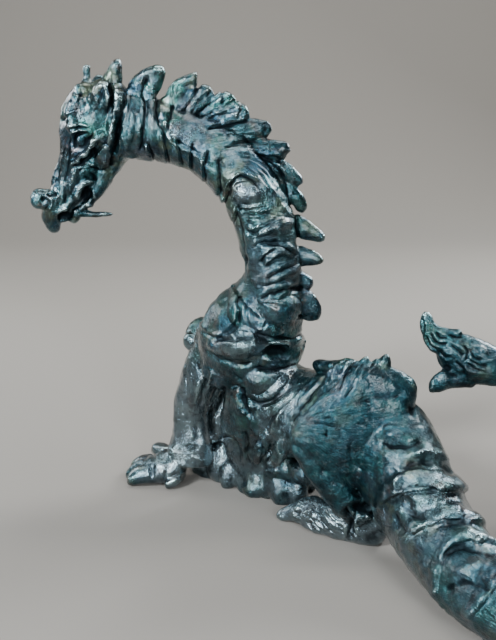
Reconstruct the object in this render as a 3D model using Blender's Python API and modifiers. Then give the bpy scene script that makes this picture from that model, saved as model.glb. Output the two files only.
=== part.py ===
"""Cast bronze dragon: one hollow casting, taken here as one solid.

The figure walks to the left with an arched neck, leaf-shaped frills, a hanging head, a fan-shaped haunch
and a heavy tail that sweeps round its right side and lifts at the tip. It is drawn in units, UNITS_HIGH of
them to its height, with +X to the right, +Y away from the side that shows and +Z up. The floor is at Z = 0.
"""
import math

import bmesh
import bpy
import numpy as np

HEIGHT = 0.205  # floor to the tip of the tallest frill, in metres
UNITS_HIGH = 205.0
UNIT = HEIGHT / UNITS_HIGH
CENTRE_X = 58.2  # middle of the figure's footprint, in units
CENTRE_Y = -9.4
GRAIN = 1.15  # cell of the casting's surface, in units
FACES = 9300
DETAIL = 1  # how many times finer than the coarsest each form is drawn
SINK = 0.9  # how far the soles and the tail are pressed below the floor before they are cut flat
LOBES = 7  # petals of skin along the lower edge of the sheet under the chest
FAR_TOES = 3

PATINA = (0.030, 0.105, 0.125, 1.0)
NEAR = np.array([0.0, -1.0, 0.0])
UP = np.array([0.0, 0.0, 1.0])


def clear_scene():
    for item in list(bpy.data.objects):
        bpy.data.objects.remove(item, do_unlink=True)


def unit(vectors):
    vectors = np.asarray(vectors, float)
    return vectors / np.maximum(np.linalg.norm(vectors, axis=-1, keepdims=True), 1e-9)


def smooth(rows, count):
    """A Catmull-Rom run through rows of numbers, resampled evenly along its first three columns."""
    rows = np.asarray(rows, float)
    rows = np.vstack([2 * rows[0] - rows[1], rows, 2 * rows[-1] - rows[-2]])
    fine = []
    for a, b, c, d in zip(rows[:-3], rows[1:-2], rows[2:-1], rows[3:]):
        for t in np.linspace(0, 1, 16, endpoint=False):
            square = 2 * a - 5 * b + 4 * c - d
            cube = 3 * b - a - 3 * c + d
            fine.append(0.5 * (2 * b + (c - a) * t + square * t**2 + cube * t**3))
    fine = np.array(fine + [rows[-2]])
    along = np.concatenate([[0], np.cumsum(np.linalg.norm(np.diff(fine[:, :3], axis=0), axis=1))])
    even = np.linspace(0, along[-1], count)
    return np.stack([np.interp(even, along, column) for column in fine.T], 1)


class Clay:
    """Gathers the overlapping forms that are later cast as one skin."""

    def __init__(self):
        self.points = []
        self.faces = []
        self.count = 0
        self.globes = {}

    def globe(self, sides, rings):
        """A UV sphere, kept as its unit points and faces, that each form is drawn out of."""
        if (sides, rings) not in self.globes:
            mesh = bmesh.new()
            bmesh.ops.create_uvsphere(mesh, u_segments=sides, v_segments=rings, radius=1)
            points = np.array([v.co[:] for v in mesh.verts])
            faces = [[v.index for v in face.verts] for face in mesh.faces]
            mesh.free()
            self.globes[sides, rings] = points, faces
        return self.globes[sides, rings]

    def stretch(self, centres, wides, thicks, sides=16, ends=(0.1, 0.1), power=2.0):
        """Draws a sphere out along centres, with half width and half thickness vectors at each of them."""
        points, faces = self.globe(sides * DETAIL, len(centres))
        place = np.arccos(np.clip(points[:, 2], -1, 1)) / math.pi
        steps = np.linspace(0, 1, len(centres))
        centre, wide, thick = (
            np.stack([np.interp(place, steps, column) for column in np.asarray(table, float).T], 1)
            for table in (centres, wides, thicks)
        )
        rounding = np.ones(len(place))
        for end, reach in zip((place, 1 - place), ends):
            rounding *= np.sqrt(1 - (1 - np.clip(end / max(reach, 1e-3), 0, 1)) ** 2)
        turn = np.arctan2(points[:, 1], points[:, 0])
        cos = np.sign(np.cos(turn)) * np.abs(np.cos(turn)) ** (2 / power) * rounding
        sin = np.sign(np.sin(turn)) * np.abs(np.sin(turn)) ** (2 / power) * rounding
        self.points.append(centre + cos[:, None] * wide + sin[:, None] * thick)
        self.faces.extend([[index + self.count for index in face] for face in faces])
        self.count += len(points)

    def tube(self, rows, across=NEAR, sides=18, rings=None, ends=(0.08, 0.08), power=2.0):
        """A tube through rows of x, y, z, half width along `across` and half height square to it."""
        rings = (rings or max(8, 5 * len(rows))) * DETAIL
        table = smooth(rows, rings)
        centres = table[:, :3]
        forward = unit(np.gradient(centres, axis=0))
        side = unit(across - (forward @ across)[:, None] * forward)
        back = np.cross(side, forward)
        self.stretch(centres, side * table[:, 3:4], back * table[:, 4:5], sides, ends, power)

    def ball(self, centre, radii, axis=(1.0, 0.0, 0.0), across=NEAR):
        """An egg: radii are along axis, across and square to both."""
        centre, axis = np.asarray(centre, float), unit(axis)
        side = unit(np.asarray(across, float) - (np.asarray(across, float) @ axis) * axis)
        back = np.cross(side, axis)
        steps = -np.cos(np.linspace(0, math.pi, 9))
        centres = centre + steps[:, None] * radii[0] * axis
        girth = np.sqrt(np.maximum(1 - steps**2, 0))[:, None]
        self.stretch(centres, girth * radii[1] * side, girth * radii[2] * back, 14, (0.0, 0.0))

    def mesh(self, name, scale):
        made = bpy.data.meshes.new(name)
        made.from_pydata((np.vstack(self.points) * scale).tolist(), [], self.faces)
        made.update()
        return made


class Spine:
    """A limb's centre line with its back-to-belly and side half sizes, for what is laid on its skin."""

    def __init__(self, rows, count=160):
        self.table = smooth(rows, count)
        self.centre = self.table[:, :3]
        self.forward = unit(np.gradient(self.centre, axis=0))
        self.near = unit(NEAR - (self.forward @ NEAR)[:, None] * self.forward)
        self.back = np.cross(self.near, self.forward)

    def lay(self, points, side=1.0, clear=0.0):
        """Takes x, z points drawn on the side view to the skin, with the skin's outward direction there."""
        placed, outward, along = [], [], []
        for x, z in points:
            gap = np.hypot(self.centre[:, 0] - x, self.centre[:, 2] - z)
            i = int(np.argmin(gap))
            breadth, rise = self.table[i, 3:5]
            offset = np.array([x, 0, z]) - self.centre[i]
            offset[1] = 0
            level = float(offset @ self.back[i])
            share = np.clip(level / rise, -0.999, 0.999)
            depth = breadth * math.sqrt(1 - share**2)
            placed.append(np.array([x, self.centre[i, 1], z]) + side * NEAR * (depth + clear))
            # Beyond the back the leaf stands free in the middle plane and faces sideways
            free = np.interp(level / rise, [0.75, 1.1], [0, 1])
            tangent = (1 - free) * share / rise
            bulge = max(math.sqrt(1 - share**2), free)
            outward.append(tangent * self.back[i] + side * NEAR * bulge / breadth)
            along.append(self.forward[i])
        return np.array(placed), unit(outward), unit(along)


# Neck: x, y, z, half breadth, half depth, from the back of the head down to the chest
NECK = [
    (-64, 44, 179, 11, 14.5),
    (-52, 44, 178, 11.5, 14.5),
    (-42, 44, 176.5, 12, 13.5),
    (-30.5, 43, 174, 12, 12.5),
    (-18.7, 42, 169.4, 12, 12.5),
    (-8.5, 41, 162, 12.5, 13),
    (0, 40, 152, 12.5, 13),
    (6, 39, 140, 12.5, 13),
    (9.3, 39, 126, 12.5, 12.6),
    (11, 42, 111, 14, 13),
    (8, 46, 97, 17, 18),
    (2, 52, 80, 22, 25),
    (4, 57, 62, 21, 23),
]
neck = Spine(NECK)

# Frill down the back of the neck, each plate in the middle plane: x, z, half width, from its root to its tip
FRILL = [
    [(-61, 186, 5.4), (-59.4, 193, 4.8), (-57.2, 200, 3.2), (-55, 206.2, 1.3)],
    [(-48, 181, 8.6), (-46.6, 188.6, 7.8), (-43.6, 194.6, 6.2), (-39, 198.6, 4.4), (-35.2, 200.4, 2.6)],
    [(-31, 178, 7.8), (-30.4, 186.4, 7.0), (-28.2, 192.6, 5.2), (-25, 197, 3.0), (-21.6, 200.6, 0.9)],
    [(-27, 181, 6.0), (-21, 188.6, 5.6), (-16.4, 194.6, 2.8)],
    [(-17, 180, 5.6), (-11.5, 186.6, 5.0), (-6.4, 191, 3.0)],
    [(-11, 177.4, 5.4), (-4.5, 182.8, 5.2), (0, 185.6, 3.6)],
    [(-13, 172, 5.8), (-3, 175.8, 5.2), (3.5, 176.7, 4.4), (10.4, 176.2, 3.2)],
    [(-3, 168.4, 5.0), (6, 168, 4.6), (12, 167.9, 4.2), (18.6, 167.4, 3.8)],
    [(5, 163.5, 4.6), (14, 159.4, 4.2), (20, 155.6, 3.4), (24.6, 153.2, 2.3)],
    [(11, 152.5, 4.2), (18.6, 149, 4.0), (23.2, 144, 3.2), (24, 140.4, 1.8)],
    [(14, 137, 5.6), (22, 134, 5.0), (28.5, 131.4, 3.7), (34.4, 128, 1.4)],
    [(14, 124, 5.4), (23, 120.8, 4.6), (30, 119.4, 3.0), (34.0, 118.7, 1.3)],
    [(14, 114, 5.2), (22, 110.6, 4.4), (29.6, 107.4, 2.4)],
    [(12, 104, 6.0), (21, 101.6, 6.8), (28, 96.4, 5.6), (32, 91.2, 2.2)],
]
FRILL_Y = 41.0
FRILL_THICK = 2.6
# Blades that lie across the upper neck, as shares of the neck's length
BLADES = 7
BLADES_FROM = 0.07
BLADES_TO = 0.34
BLADE_SLANT = 0.16


def add_neck(clay):
    clay.tube(NECK, rings=60, sides=28, ends=(0.05, 0.05))
    for rows in FRILL:
        table = smooth([(x, FRILL_Y, z, half) for x, z, half in rows], 16)
        centres = table[:, :3]
        wide = np.cross(unit(np.gradient(centres, axis=0)), NEAR) * table[:, 3:4]
        thick = NEAR * FRILL_THICK * np.linspace(1.5, 0.75, len(table))[:, None]
        clay.stretch(centres, wide, thick, 16, (0.12, 0.14), 1.7)


def add_scutes(clay, first=0.13, last=0.60, number=12):
    """Belly plates along the inner curve, each one overlapping the next."""
    for i in range(number):
        at = int((first + (last - first) * i / (number - 1)) * (len(neck.centre) - 1))
        breadth, rise = neck.table[at, 3:5]
        turns = np.radians(np.linspace(-168, -12, 15))
        around = (neck.centre[at] + np.cos(turns)[:, None] * breadth * 0.97 * neck.near[at]
                  + np.sin(turns)[:, None] * rise * neck.back[at])
        outward = unit(np.cos(turns)[:, None] * neck.near[at] + np.sin(turns)[:, None] * neck.back[at])
        edge = unit(neck.forward[at] * math.cos(0.35) + outward * math.sin(0.35))
        face = unit(outward - (outward * edge).sum(1)[:, None] * edge)
        clay.stretch(around, edge * 2.9, face * 1.3, 10, (0.15, 0.15), 2.4)


# Rolls on the flank of the neck: half width, how far they stand out, and their line as x, z on the side view
FOLDS = [
    (2.4, 1.4, [(1, 131), (6, 135), (14, 137.5), (22, 136)]),
    (2.8, 1.8, [(3, 121), (8, 125.5), (15, 126.5), (22, 124)]),
    (3.4, 2.0, [(3, 111.5), (9, 114.5), (16, 117), (24, 119)]),
    (3.6, 1.8, [(4, 103.5), (12, 107), (20, 109.5)]),
    (5.6, 2.4, [(6, 95), (15, 99), (24, 98)]),
    (5.0, 2.0, [(-8, 107), (-5, 98), (3, 91), (16, 88)]),
]
# The swelling scale and the two lids round it
LIDS = [
    (1.7, 1.7, [(-8, 148), (-6, 154), (-2, 157), (4, 155.5), (11, 150)]),
    (1.9, 1.9, [(-10, 150), (-8, 158), (-2, 162), (6, 160), (14, 154)]),
    (1.6, 1.6, [(-4, 140), (4, 141), (14, 138), (20, 133)]),
]


def lay_rolls(clay, rolls):
    """Rolls pressed on the neck's skin along lines drawn on its side view, alike on both flanks."""
    for side in (1, -1):
        for half, proud, path in rolls:
            drawn = smooth([(x, 0, z) for x, z in path], 16)
            centres, outward, _ = neck.lay(drawn[:, [0, 2]], side)
            across = np.cross(unit(np.gradient(centres, axis=0)), outward)
            taper = (1 - 0.45 * np.linspace(-1, 1, len(drawn)) ** 2)[:, None]
            clay.stretch(centres, across * half * taper, outward * proud * taper, 14, (0.3, 0.2))


def add_folds(clay):
    lay_rolls(clay, FOLDS)


def add_neck_carving(clay):
    """The swelling scale under its lids, and the laps between the blades of the upper neck, on both sides."""
    lay_rolls(clay, LIDS)
    for side in (1, -1):
        bulge, outward, _ = neck.lay([(0, 149.5)], side)
        clay.ball(bulge[0] - outward[0], (6.2, 3.0, 4.2), axis=(1, 0, -0.15), across=outward[0])
        for i in range(BLADES):
            at = int((BLADES_FROM + (BLADES_TO - BLADES_FROM) * i / (BLADES - 1)) * (len(neck.centre) - 1))
            breadth, rise = neck.table[at, 3:5]
            turns = np.radians(np.linspace(-45, 70, 13))
            around = (neck.centre[at] + side * np.cos(turns)[:, None] * breadth * 0.98 * neck.near[at]
                      + np.sin(turns)[:, None] * rise * neck.back[at]
                      - BLADE_SLANT * np.sin(turns)[:, None] * rise * neck.forward[at])
            near_part = side * np.cos(turns)[:, None] * neck.near[at]
            outward = unit(near_part + np.sin(turns)[:, None] * neck.back[at])
            edge = unit(neck.forward[at] * math.cos(0.3) + outward * math.sin(0.3))
            face = unit(outward - (outward * edge).sum(1)[:, None] * edge)
            clay.stretch(around, edge * 3.4, face * 1.2, 10, (0.3, 0.3), 2.4)


def add_collar(clay):
    """Heavy rolls of skin where the neck meets the chest."""
    clay.tube([(-21, 50, 77, 2.5, 3), (-11, 38, 79, 4.4, 5.6), (-1, 31, 83, 6.4, 8), (7, 33, 82, 4, 4.6),
               (14, 35, 84.5, 3.4, 3.6),
                (21, 44, 82, 4, 4), (22, 60, 76, 4, 5)], across=UP, rings=36, ends=(0.15, 0.15))
    clay.tube([(-24, 80, 75, 4, 5), (-6, 84, 74, 5, 6), (10, 78, 76, 5, 6), (19, 68, 78, 4, 5)], across=UP)
    clay.ball((-22, 77, 74), (9, 8, 9))
    clay.ball((-27, 72, 72), (5, 5, 5))


# Head: its own frame runs from the occiput down the face, out of the brow and to the near side
OCCIPUT = np.array([-60.0, 44.0, 187.0])
HEAD_FORWARD = unit([-0.542, 0.0, -0.841])
HEAD_ROLL = math.radians(14)
LEVEL_BROW = np.array([HEAD_FORWARD[2], 0.0, -HEAD_FORWARD[0]])
HEAD_BROW = LEVEL_BROW * math.cos(HEAD_ROLL) + NEAR * math.sin(HEAD_ROLL)
HEAD_NEAR = NEAR * math.cos(HEAD_ROLL) - LEVEL_BROW * math.sin(HEAD_ROLL)


def on_head(along, brow, near):
    return OCCIPUT + along * HEAD_FORWARD + brow * HEAD_BROW + near * HEAD_NEAR


def head_tube(clay, rows, **options):
    """A tube whose rows are along, brow, near, half width and half height in the head's frame."""
    clay.tube([(*on_head(a, b, n), wide, tall) for a, b, n, wide, tall in rows], across=HEAD_NEAR, **options)


def add_skull(clay):
    head_tube(clay, [(-8, -5, 0, 7.5, 9), (2, 0.5, 0, 10, 12), (12, 1.5, 0, 10.2, 13.4), (20, 0, 0, 9.2, 12),
                     (28, -2.2, 0, 7.4, 9.6), (37, -3.2, 0, 6.4, 7.2), (46, -2.2, 0, 6.2, 6),
                     (54, -2.4, 0, 5.8, 5),
                     (59.5, -4, 0, 4.2, 3.8)], rings=44, sides=26)
    # Upper lip, hooked like a beak
    head_tube(clay, [(50, -0.6, 0, 5.6, 4.6), (55, -2.4, 0, 5, 4.4), (59, -5.4, 0, 3.6, 3.4),
                     (61.5, -8.6, 0, 1.3, 1.3)],
              ends=(0.2, 0.1))
    # Lower jaw, with its rounded hind lobe and its tip
    head_tube(clay, [(4, -11.5, 0, 7.6, 8.4), (16, -12.4, 0, 7.6, 6.8), (26, -13.2, 0, 6.6, 4.8),
                     (35, -14.2, 0, 5.8, 3.6),
                     (42, -13, 0, 5.2, 2.4), (48, -11.6, 0, 5, 2.6), (54.4, -10.2, 0, 4.2, 2.9)], rings=34)
    # Inside of the mouth, set back from both cheeks
    head_tube(clay, [(26, -9, 0, 4.4, 5), (34, -10, 0, 4.2, 4.6), (42, -9.2, 0, 3.6, 4.4),
                     (50, -7.4, 0, 2.8, 4.2),
                     (56.5, -7, 0, 2.6, 3.2)])
    # Crest down the middle of the face
    head_tube(clay, [(-3, 12, 0, 3.4, 2.6), (6, 14.4, 0, 3.4, 2.4), (13, 13.6, 0, 3, 2.4),
                     (20, 10.6, 0, 2.4, 2),
                     (30, 5.6, 0, 2, 1.8), (44, 3.4, 0, 1.8, 1.4)])


def add_cheek(clay, side):
    # Brow bone, eye and lids
    head_tube(clay, [(3, 13, 4 * side, 2.6, 2.6), (10, 13, 5.6 * side, 2.8, 3),
                     (15.4, 9.4, 7.4 * side, 2.4, 2.4),
                     (19, 5, 7.4 * side, 1.4, 1.4)])
    clay.ball(on_head(19.6, 3.6, 7.2 * side), (2.9, 2.2, 2.7), HEAD_FORWARD, HEAD_NEAR)
    # Cheekbone, and the jaw muscle behind it
    head_tube(clay, [(8, -3, 8.6 * side, 2.2, 2.4), (14, -1.8, 9.2 * side, 2.6, 2.8),
                     (20, -0.4, 8.6 * side, 2.5, 2.4),
                     (26, 1, 7.2 * side, 2, 1.8), (32, 1, 5.6 * side, 1.4, 1.4)], ends=(0.2, 0.3))
    clay.ball(on_head(15, -9, 6.4 * side), (10, 4.4, 5.2), HEAD_FORWARD, HEAD_NEAR)
    # Lip
    head_tube(clay, [(31, -9.6, 5 * side, 1.6, 1.4), (36, -6.6, 5.6 * side, 1.8, 1.8),
                     (43, -6.8, 5.6 * side, 1.7, 1.8),
                     (49.5, -4.8, 5 * side, 1.5, 1.5), (54.5, -5, 3.6 * side, 1.3, 1.3)])
    clay.ball(on_head(49, -11, 3.6 * side), (3.4, 1.8, 1.6), HEAD_FORWARD, HEAD_NEAR)
    # Nostril: its wing and the knob that rolls over it
    clay.ball(on_head(50, 0.6, 4.4 * side), (4.4, 2.4, 3.4), HEAD_FORWARD, HEAD_NEAR)
    clay.ball(on_head(50.6, 3.2, 3.4 * side), (4.6, 2.6, 3.6), HEAD_FORWARD, HEAD_NEAR)
    clay.ball(on_head(51.6, 5.4, 3.2 * side), (4.3, 3.1, 3.9), HEAD_FORWARD, HEAD_NEAR)
    # Ear shell, and the edge of skin behind the jaw
    clay.ball(on_head(-1.7, 5.8, 8.6 * side), (6.8, 2.4, 4.2), -0.9 * HEAD_FORWARD + 0.43 * HEAD_BROW,
              HEAD_NEAR)
    head_tube(clay, [(-7, 2, 8.4 * side, 2, 3), (4, -8.4, 9.6 * side, 2.2, 3), (11, -13.4, 8 * side, 2.2, 3),
                     (16, -16, 5 * side, 1.6, 2)])


def add_head(clay):
    add_skull(clay)
    for side in (1, -1):
        add_cheek(clay, side)
    # The far horn, pinched below its knob, and the spike of the beard
    head_tube(clay, [(3, 10.6, -3, 3.8, 4), (-1.2, 12.1, -3.2, 2.8, 2.9), (-4.6, 13.7, -3.8, 1.5, 1.6),
                     (-6.8, 15, -4, 1.4, 1.5), (-9, 16.2, -4.2, 1.6, 1.6)], ends=(0.1, 0.1))
    head_tube(clay, [(49, -9.5, 3, 2.2, 2.2), (47.2, -13.6, 3.4, 1.6, 1.6), (44.5, -19, 3.8, 1.2, 1.2),
                     (40.6, -25.4, 4.2, 0.6, 0.6)], ends=(0.1, 0.1))


# Trunk: x, y, z, half breadth, half depth, from the chest to the hips
TRUNK = [
    (-4, 62, 58, 17, 19),
    (6, 56, 53, 20, 21),
    (18, 45, 47, 20, 21),
    (32, 32, 47, 19, 22),
    (46, 20, 49, 19, 25),
    (57, 11, 48, 19, 26),
]


def add_trunk(clay):
    clay.tube(TRUNK, across=unit([-0.7, -0.7, 0]), rings=40, sides=26, ends=(0.2, 0.2))
    # Swelling of the near shoulder and the folds that run from the back down to the near foreleg
    clay.ball((8, 42, 65), (15, 12.5, 12.5))
    clay.ball((-8, 48, 66), (13, 12, 12))
    for rows in (
        [(27, 30, 68, 3, 3), (20, 27, 56, 3.4, 3.4), (12, 28, 44, 3.4, 3.4), (6, 32, 32, 3, 3),
         (4, 36, 22, 2.6, 2.6)],
        [(33, 20, 62, 2.6, 2.6), (24, 20, 50, 3, 3), (17, 24, 38, 3.4, 3.4), (12, 30, 24, 3, 3)],
        [(18, 33, 68, 2.4, 2.4), (12, 31, 60, 2.6, 2.6), (2, 34, 52, 2.4, 2.4), (-4, 38, 46, 2, 2)],
        [(30, 34, 72, 3, 3), (38, 24, 74, 3, 3), (47, 18, 78, 3, 3)],
    ):
        clay.tube(rows, ends=(0.2, 0.2))
    # Bare mass behind the sheet of skin under the chest
    clay.tube([(10, 50, 20, 9, 12), (22, 46, 18, 9, 11), (34, 38, 20, 9, 12)], across=UP)


def toe(clay, root, knuckle, tip, girth):
    clay.tube([(*root, girth, girth), (*knuckle, girth * 1.05, girth), (*tip, girth * 0.45, girth * 0.4)],
              rings=12, ends=(0.15, 0.15), sides=12)


def add_forelegs(clay):
    # The leg that steps forward
    clay.tube([(-8, 62, 82, 13, 14), (-14, 63, 70, 13.5, 13.5), (-21, 63, 57, 11.5, 11.5),
               (-26.5, 63.5, 46, 8.8, 9.4),
               (-28.4, 63.5, 37, 7.2, 8.4), (-28.2, 64, 28, 7.4, 9), (-28, 63.6, 18, 8.8, 10.4),
               (-28.6, 63, 10.5, 9.4, 11)],
              rings=44, ends=(0.08, 0.02))
    clay.tube([(-31, 64, 10, 9, 8.5), (-38, 64, 9, 9.5, 8.5), (-46, 65, 7, 9.5, 6.5), (-54, 66, 5, 8, 5)],
              ends=(0.2, 0.25))
    # The far leg, in the shadow behind it
    clay.tube([(-5, 66, 88, 8, 8), (-10, 72, 74, 8.6, 10), (-13, 75, 60, 7.4, 10.4), (-14, 75, 46, 6.2, 9.6),
               (-14.6, 74, 32, 6, 8.6), (-15.6, 74, 18, 6.6, 8.8), (-17, 74, 6, 7.4, 9.6),
               (-17, 74, -2, 7.6, 10)],
              rings=36, ends=(0.25, 0.02))
    for i in range(FAR_TOES):
        root = np.array([-21 + 1.2 * i, 80 - 4.4 * i, 5.5])
        toe(clay, root, root + (-5, 3.4 - 1.6 * i, 0), root + (-9.6, 5.6 - 2.6 * i, -3.6), 3.6)
    for spread in (-1, 0, 1):
        toe(clay, (-44, 66 + 6 * spread, 6), (-54, 66 + 7 * spread, 6),
            (-62 + 2 * abs(spread), 66 + 8 * spread, 2), 4.2)
    toe(clay, (-40, 74, 10), (-46, 79, 11.5), (-50, 82, 9), 3.6)
    toe(clay, (-34, 58, 6), (-38, 55, 4), (-41, 54, 1.5), 2.8)
    # Soft step from the shin into the paw
    clay.tube([(-27, 65, 28, 8.5, 9), (-31.5, 64.5, 18, 8.6, 8.4), (-38, 64.5, 11.5, 8.4, 6.6)],
              ends=(0.3, 0.3))
    # The leg under the chest: a broad sheet of skin that ends in a row of lobes
    clay.tube([(4, 43, 62, 12, 12), (1, 45, 49, 13, 11), (0, 49, 35, 14, 10), (2, 53, 21, 14.5, 9),
               (3, 55, 9, 14.5, 8)],
              across=unit([0.82, -0.57, 0]), rings=36)
    along = unit([0.81, -0.585, 0.0])
    outward = np.array([along[1], -along[0], 0.0])
    for i in range(LOBES):
        share = i / (LOBES - 1)
        foot = np.array([-14 + 38 * share, 66 - 27 * share ** 0.8, -1.4])
        breadth = 6.0 + 1.2 * math.cos(2.4 * i)
        slant = along * 3.0 * math.sin(2.1 * i)
        proud = outward * (1.0 + 1.6 * (i % 2))
        root = foot + slant + (0, 0, 19 + 3 * math.cos(1.7 * i))
        middle = foot + proud * 1.2 + 0.2 * slant + (0, 0, 8.5)
        clay.tube([(*root, 0.8 * breadth, 3.6), (*middle, breadth, 4.8),
                   (*(foot + proud - slant), 0.62 * breadth, 3.6)],
                  across=along, rings=20, ends=(0.3, 0.3))


KNEE = np.array([19.5, -2.0, 54.0])
TUFTS = 6


def add_haunch(clay):
    """The near thigh and shank folded into one fan that opens from the knee."""
    clay.tube([(18.5, -3, 55, 2.2, 2.6), (24, -3, 54, 4.4, 11), (32, -2, 53, 7, 19.5), (41, 0, 52, 9.5, 28),
               (51, 3, 51, 12, 31), (61, 5, 45, 14, 26)], rings=40, sides=30, ends=(0.06, 0.2), power=1.8)
    clay.tube([(20, -2, 50, 3.6, 3.6), (31, -3, 34, 5, 5), (42, -2, 22, 6, 6.4), (52, 0, 14, 6.5, 7)],
              rings=20)
    # Tufts along the hips, a ragged top edge
    for i in range(TUFTS):
        x = 36 + 4.1 * i
        top = 82 + 0.6 * i + 1.4 * (i % 2)
        clay.tube([(x - 3, 6, top - 17, 4, 4.4), (x, 4, top - 7, 3.4, 3.6), (x + 1.8, 4, top, 1.1, 1.2)],
                  ends=(0.1, 0.2))


def add_ribs(clay):
    """Ribs of the fan on the thigh."""
    for i in range(9):
        angle = math.radians(52 - 11.5 * i)
        reach = 34 if i < 5 else 30
        away = np.array([math.cos(angle), 0.06, math.sin(angle)])
        start = KNEE + 7 * away + np.array([0, -3.4, 0])
        middle = KNEE + 0.55 * reach * away + np.array([0, -7.2 - 0.4 * abs(i - 3), 0])
        end = KNEE + reach * away + np.array([2, -6.5, 0])
        clay.tube([(*start, 1.2, 0.9), (*middle, 1.8, 1.5), (*end, 1.2, 1.1)], rings=12, sides=10,
                  ends=(0.3, 0.3))


def add_hind_feet(clay):
    clay.tube([(62.5, 1, 8, 7, 8), (54, 2, 9, 8, 10.5), (45, 6, 8.5, 8.5, 9.6), (36, 11, 8, 8.5, 8.6),
               (29, 16, 7, 7.4, 7),
               (22.5, 19.4, 6, 4.8, 4.2), (17.5, 21, 4, 3, 2.8), (13, 22, 2.4, 1.4, 1.5)],
              ends=(0.12, 0.05), rings=40)
    # Far leg, brought forward under the belly
    clay.tube([(58, 34, 52, 13, 20), (48, 46, 42, 11, 14), (36, 56, 30, 9, 10), (30, 58, 17, 7.5, 8),
               (27, 57, 7, 7.5, 7.5)],
              across=unit([-0.7, -0.7, 0]), rings=30)
    clay.tube([(34, 58, 6, 7.5, 6.5), (26, 56, 6, 8, 6), (18, 54, 4, 6.5, 4)], ends=(0.2, 0.25))
    for spread in (-1, 0, 1):
        toe(clay, (24, 54 + 5 * spread, 7), (18, 51 + 6 * spread, 8), (14, 50 + 6 * spread, 1.5), 3.8)


# Tail: x, y, z, half breadth, half depth, from the hips round the right side to the lifted tip
TAIL = [
    (51, 14, 49, 20, 25),
    (61.5, 4, 41.5, 19, 24),
    (69, -10, 30.5, 18, 21),
    (75.5, -27, 21, 17, 18.5),
    (81.5, -44, 16.5, 16, 16.5),
    (88, -61, 15, 15, 15.5),
    (99.5, -78, 14, 14.5, 14.5),
    (117, -90, 12.5, 13, 13),
    (138, -96, 12, 12, 12.5),
    (160, -93, 12.5, 11.5, 12),
    (180, -81, 14.5, 10.8, 11),
    (196, -61, 19.5, 9.8, 10),
    (204, -36, 28, 8.8, 9),
    (201, -12, 40, 7.8, 8),
    (186, 8, 53, 7, 7.2),
    (163, 19, 65, 6.6, 6.8),
    (138, 21, 71, 6.4, 6.6),
    (118, 20, 73.5, 6.2, 6.6),
    (104, 20, 76.5, 7, 9),
    (93, 21, 81, 6, 9.6),
    (84, 23, 88, 4, 6.5),
]
TAIL_FOLD_SPACING = 0.62  # as a share of the tail's half depth there
TAIL_FOLD_LEAST = 4.5
tail = smooth(TAIL, 240)
tail_forward = unit(np.gradient(tail[:, :3], axis=0))
tail_back = unit(UP - (tail_forward @ UP)[:, None] * tail_forward)
tail_near = np.cross(tail_forward, tail_back)


def add_tail(clay):
    clay.stretch(tail[:, :3], tail_near * tail[:, 3:4], tail_back * tail[:, 4:5], 26, (0.02, 0.02))
    # Leaf of the tip: a spike that stands up, and a lower lobe
    clay.tube([(92, 21, 84, 4, 8), (84, 22.5, 87, 3.4, 6), (79.5, 24, 92, 2.6, 3.6),
               (77.5, 25, 99, 1.6, 1.8)],
              ends=(0.1, 0.15))
    clay.tube([(100, 20, 72, 4, 6), (89, 19, 71, 3.4, 4.8), (82.5, 18, 67.5, 2.8, 3.4),
               (80, 17, 65, 1.6, 1.8)],
              ends=(0.1, 0.2))
    # Folds across the tail, each lapping over the next, closer together toward the tip
    station = 23.0
    while station < 205:
        i = int(station)
        breadth, rise = tail[i, 3:5]
        turns = np.radians(np.linspace(-20, 200, 17))
        wave = 0.22 * rise * np.sin(2 * turns + station)[:, None] * tail_forward[i]
        around = (tail[i, :3] + wave + np.cos(turns)[:, None] * breadth * 0.95 * tail_near[i]
                  + np.sin(turns)[:, None] * rise * 0.95 * tail_back[i])
        outward = unit(np.cos(turns)[:, None] * tail_near[i] + np.sin(turns)[:, None] * tail_back[i])
        edge = unit(tail_forward[i] * math.cos(0.4) + outward * math.sin(0.4))
        face = unit(outward - (outward * edge).sum(1)[:, None] * edge)
        clay.stretch(around, edge * 0.34 * rise, face * 0.12 * rise, 12, (0.35, 0.35))
        tip = tail[i, :3] + tail_back[i] * rise * 1.14 + tail_forward[i] * rise * 0.34
        root = tail[i, :3] + tail_back[i] * rise * 0.8
        clay.stretch([root, (root + tip) / 2, tip], [tail_forward[i] * rise * w for w in (0.26, 0.18, 0.05)],
                     [tail_near[i] * rise * w for w in (0.16, 0.11, 0.04)], 8, (0.1, 0.2))
        station += max(TAIL_FOLD_LEAST, TAIL_FOLD_SPACING * rise)


def cast(clay, name):
    """Joins every form into one skin, thins it to few faces and cuts the soles flat."""
    figure = bpy.data.objects.new(name, clay.mesh(name, 1.0))
    bpy.context.scene.collection.objects.link(figure)
    skin = figure.modifiers.new("one skin", "REMESH")
    skin.mode = "VOXEL"
    skin.voxel_size = GRAIN
    thin = figure.modifiers.new("few faces", "DECIMATE")
    thin.ratio = 1.0
    graph = bpy.context.evaluated_depsgraph_get()
    dense = len(figure.evaluated_get(graph).data.polygons) * 2
    thin.ratio = FACES / dense
    graph.update()
    thinned = bpy.data.meshes.new_from_object(figure.evaluated_get(bpy.context.evaluated_depsgraph_get()))
    figure.modifiers.clear()
    figure.data = thinned
    return figure


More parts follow.
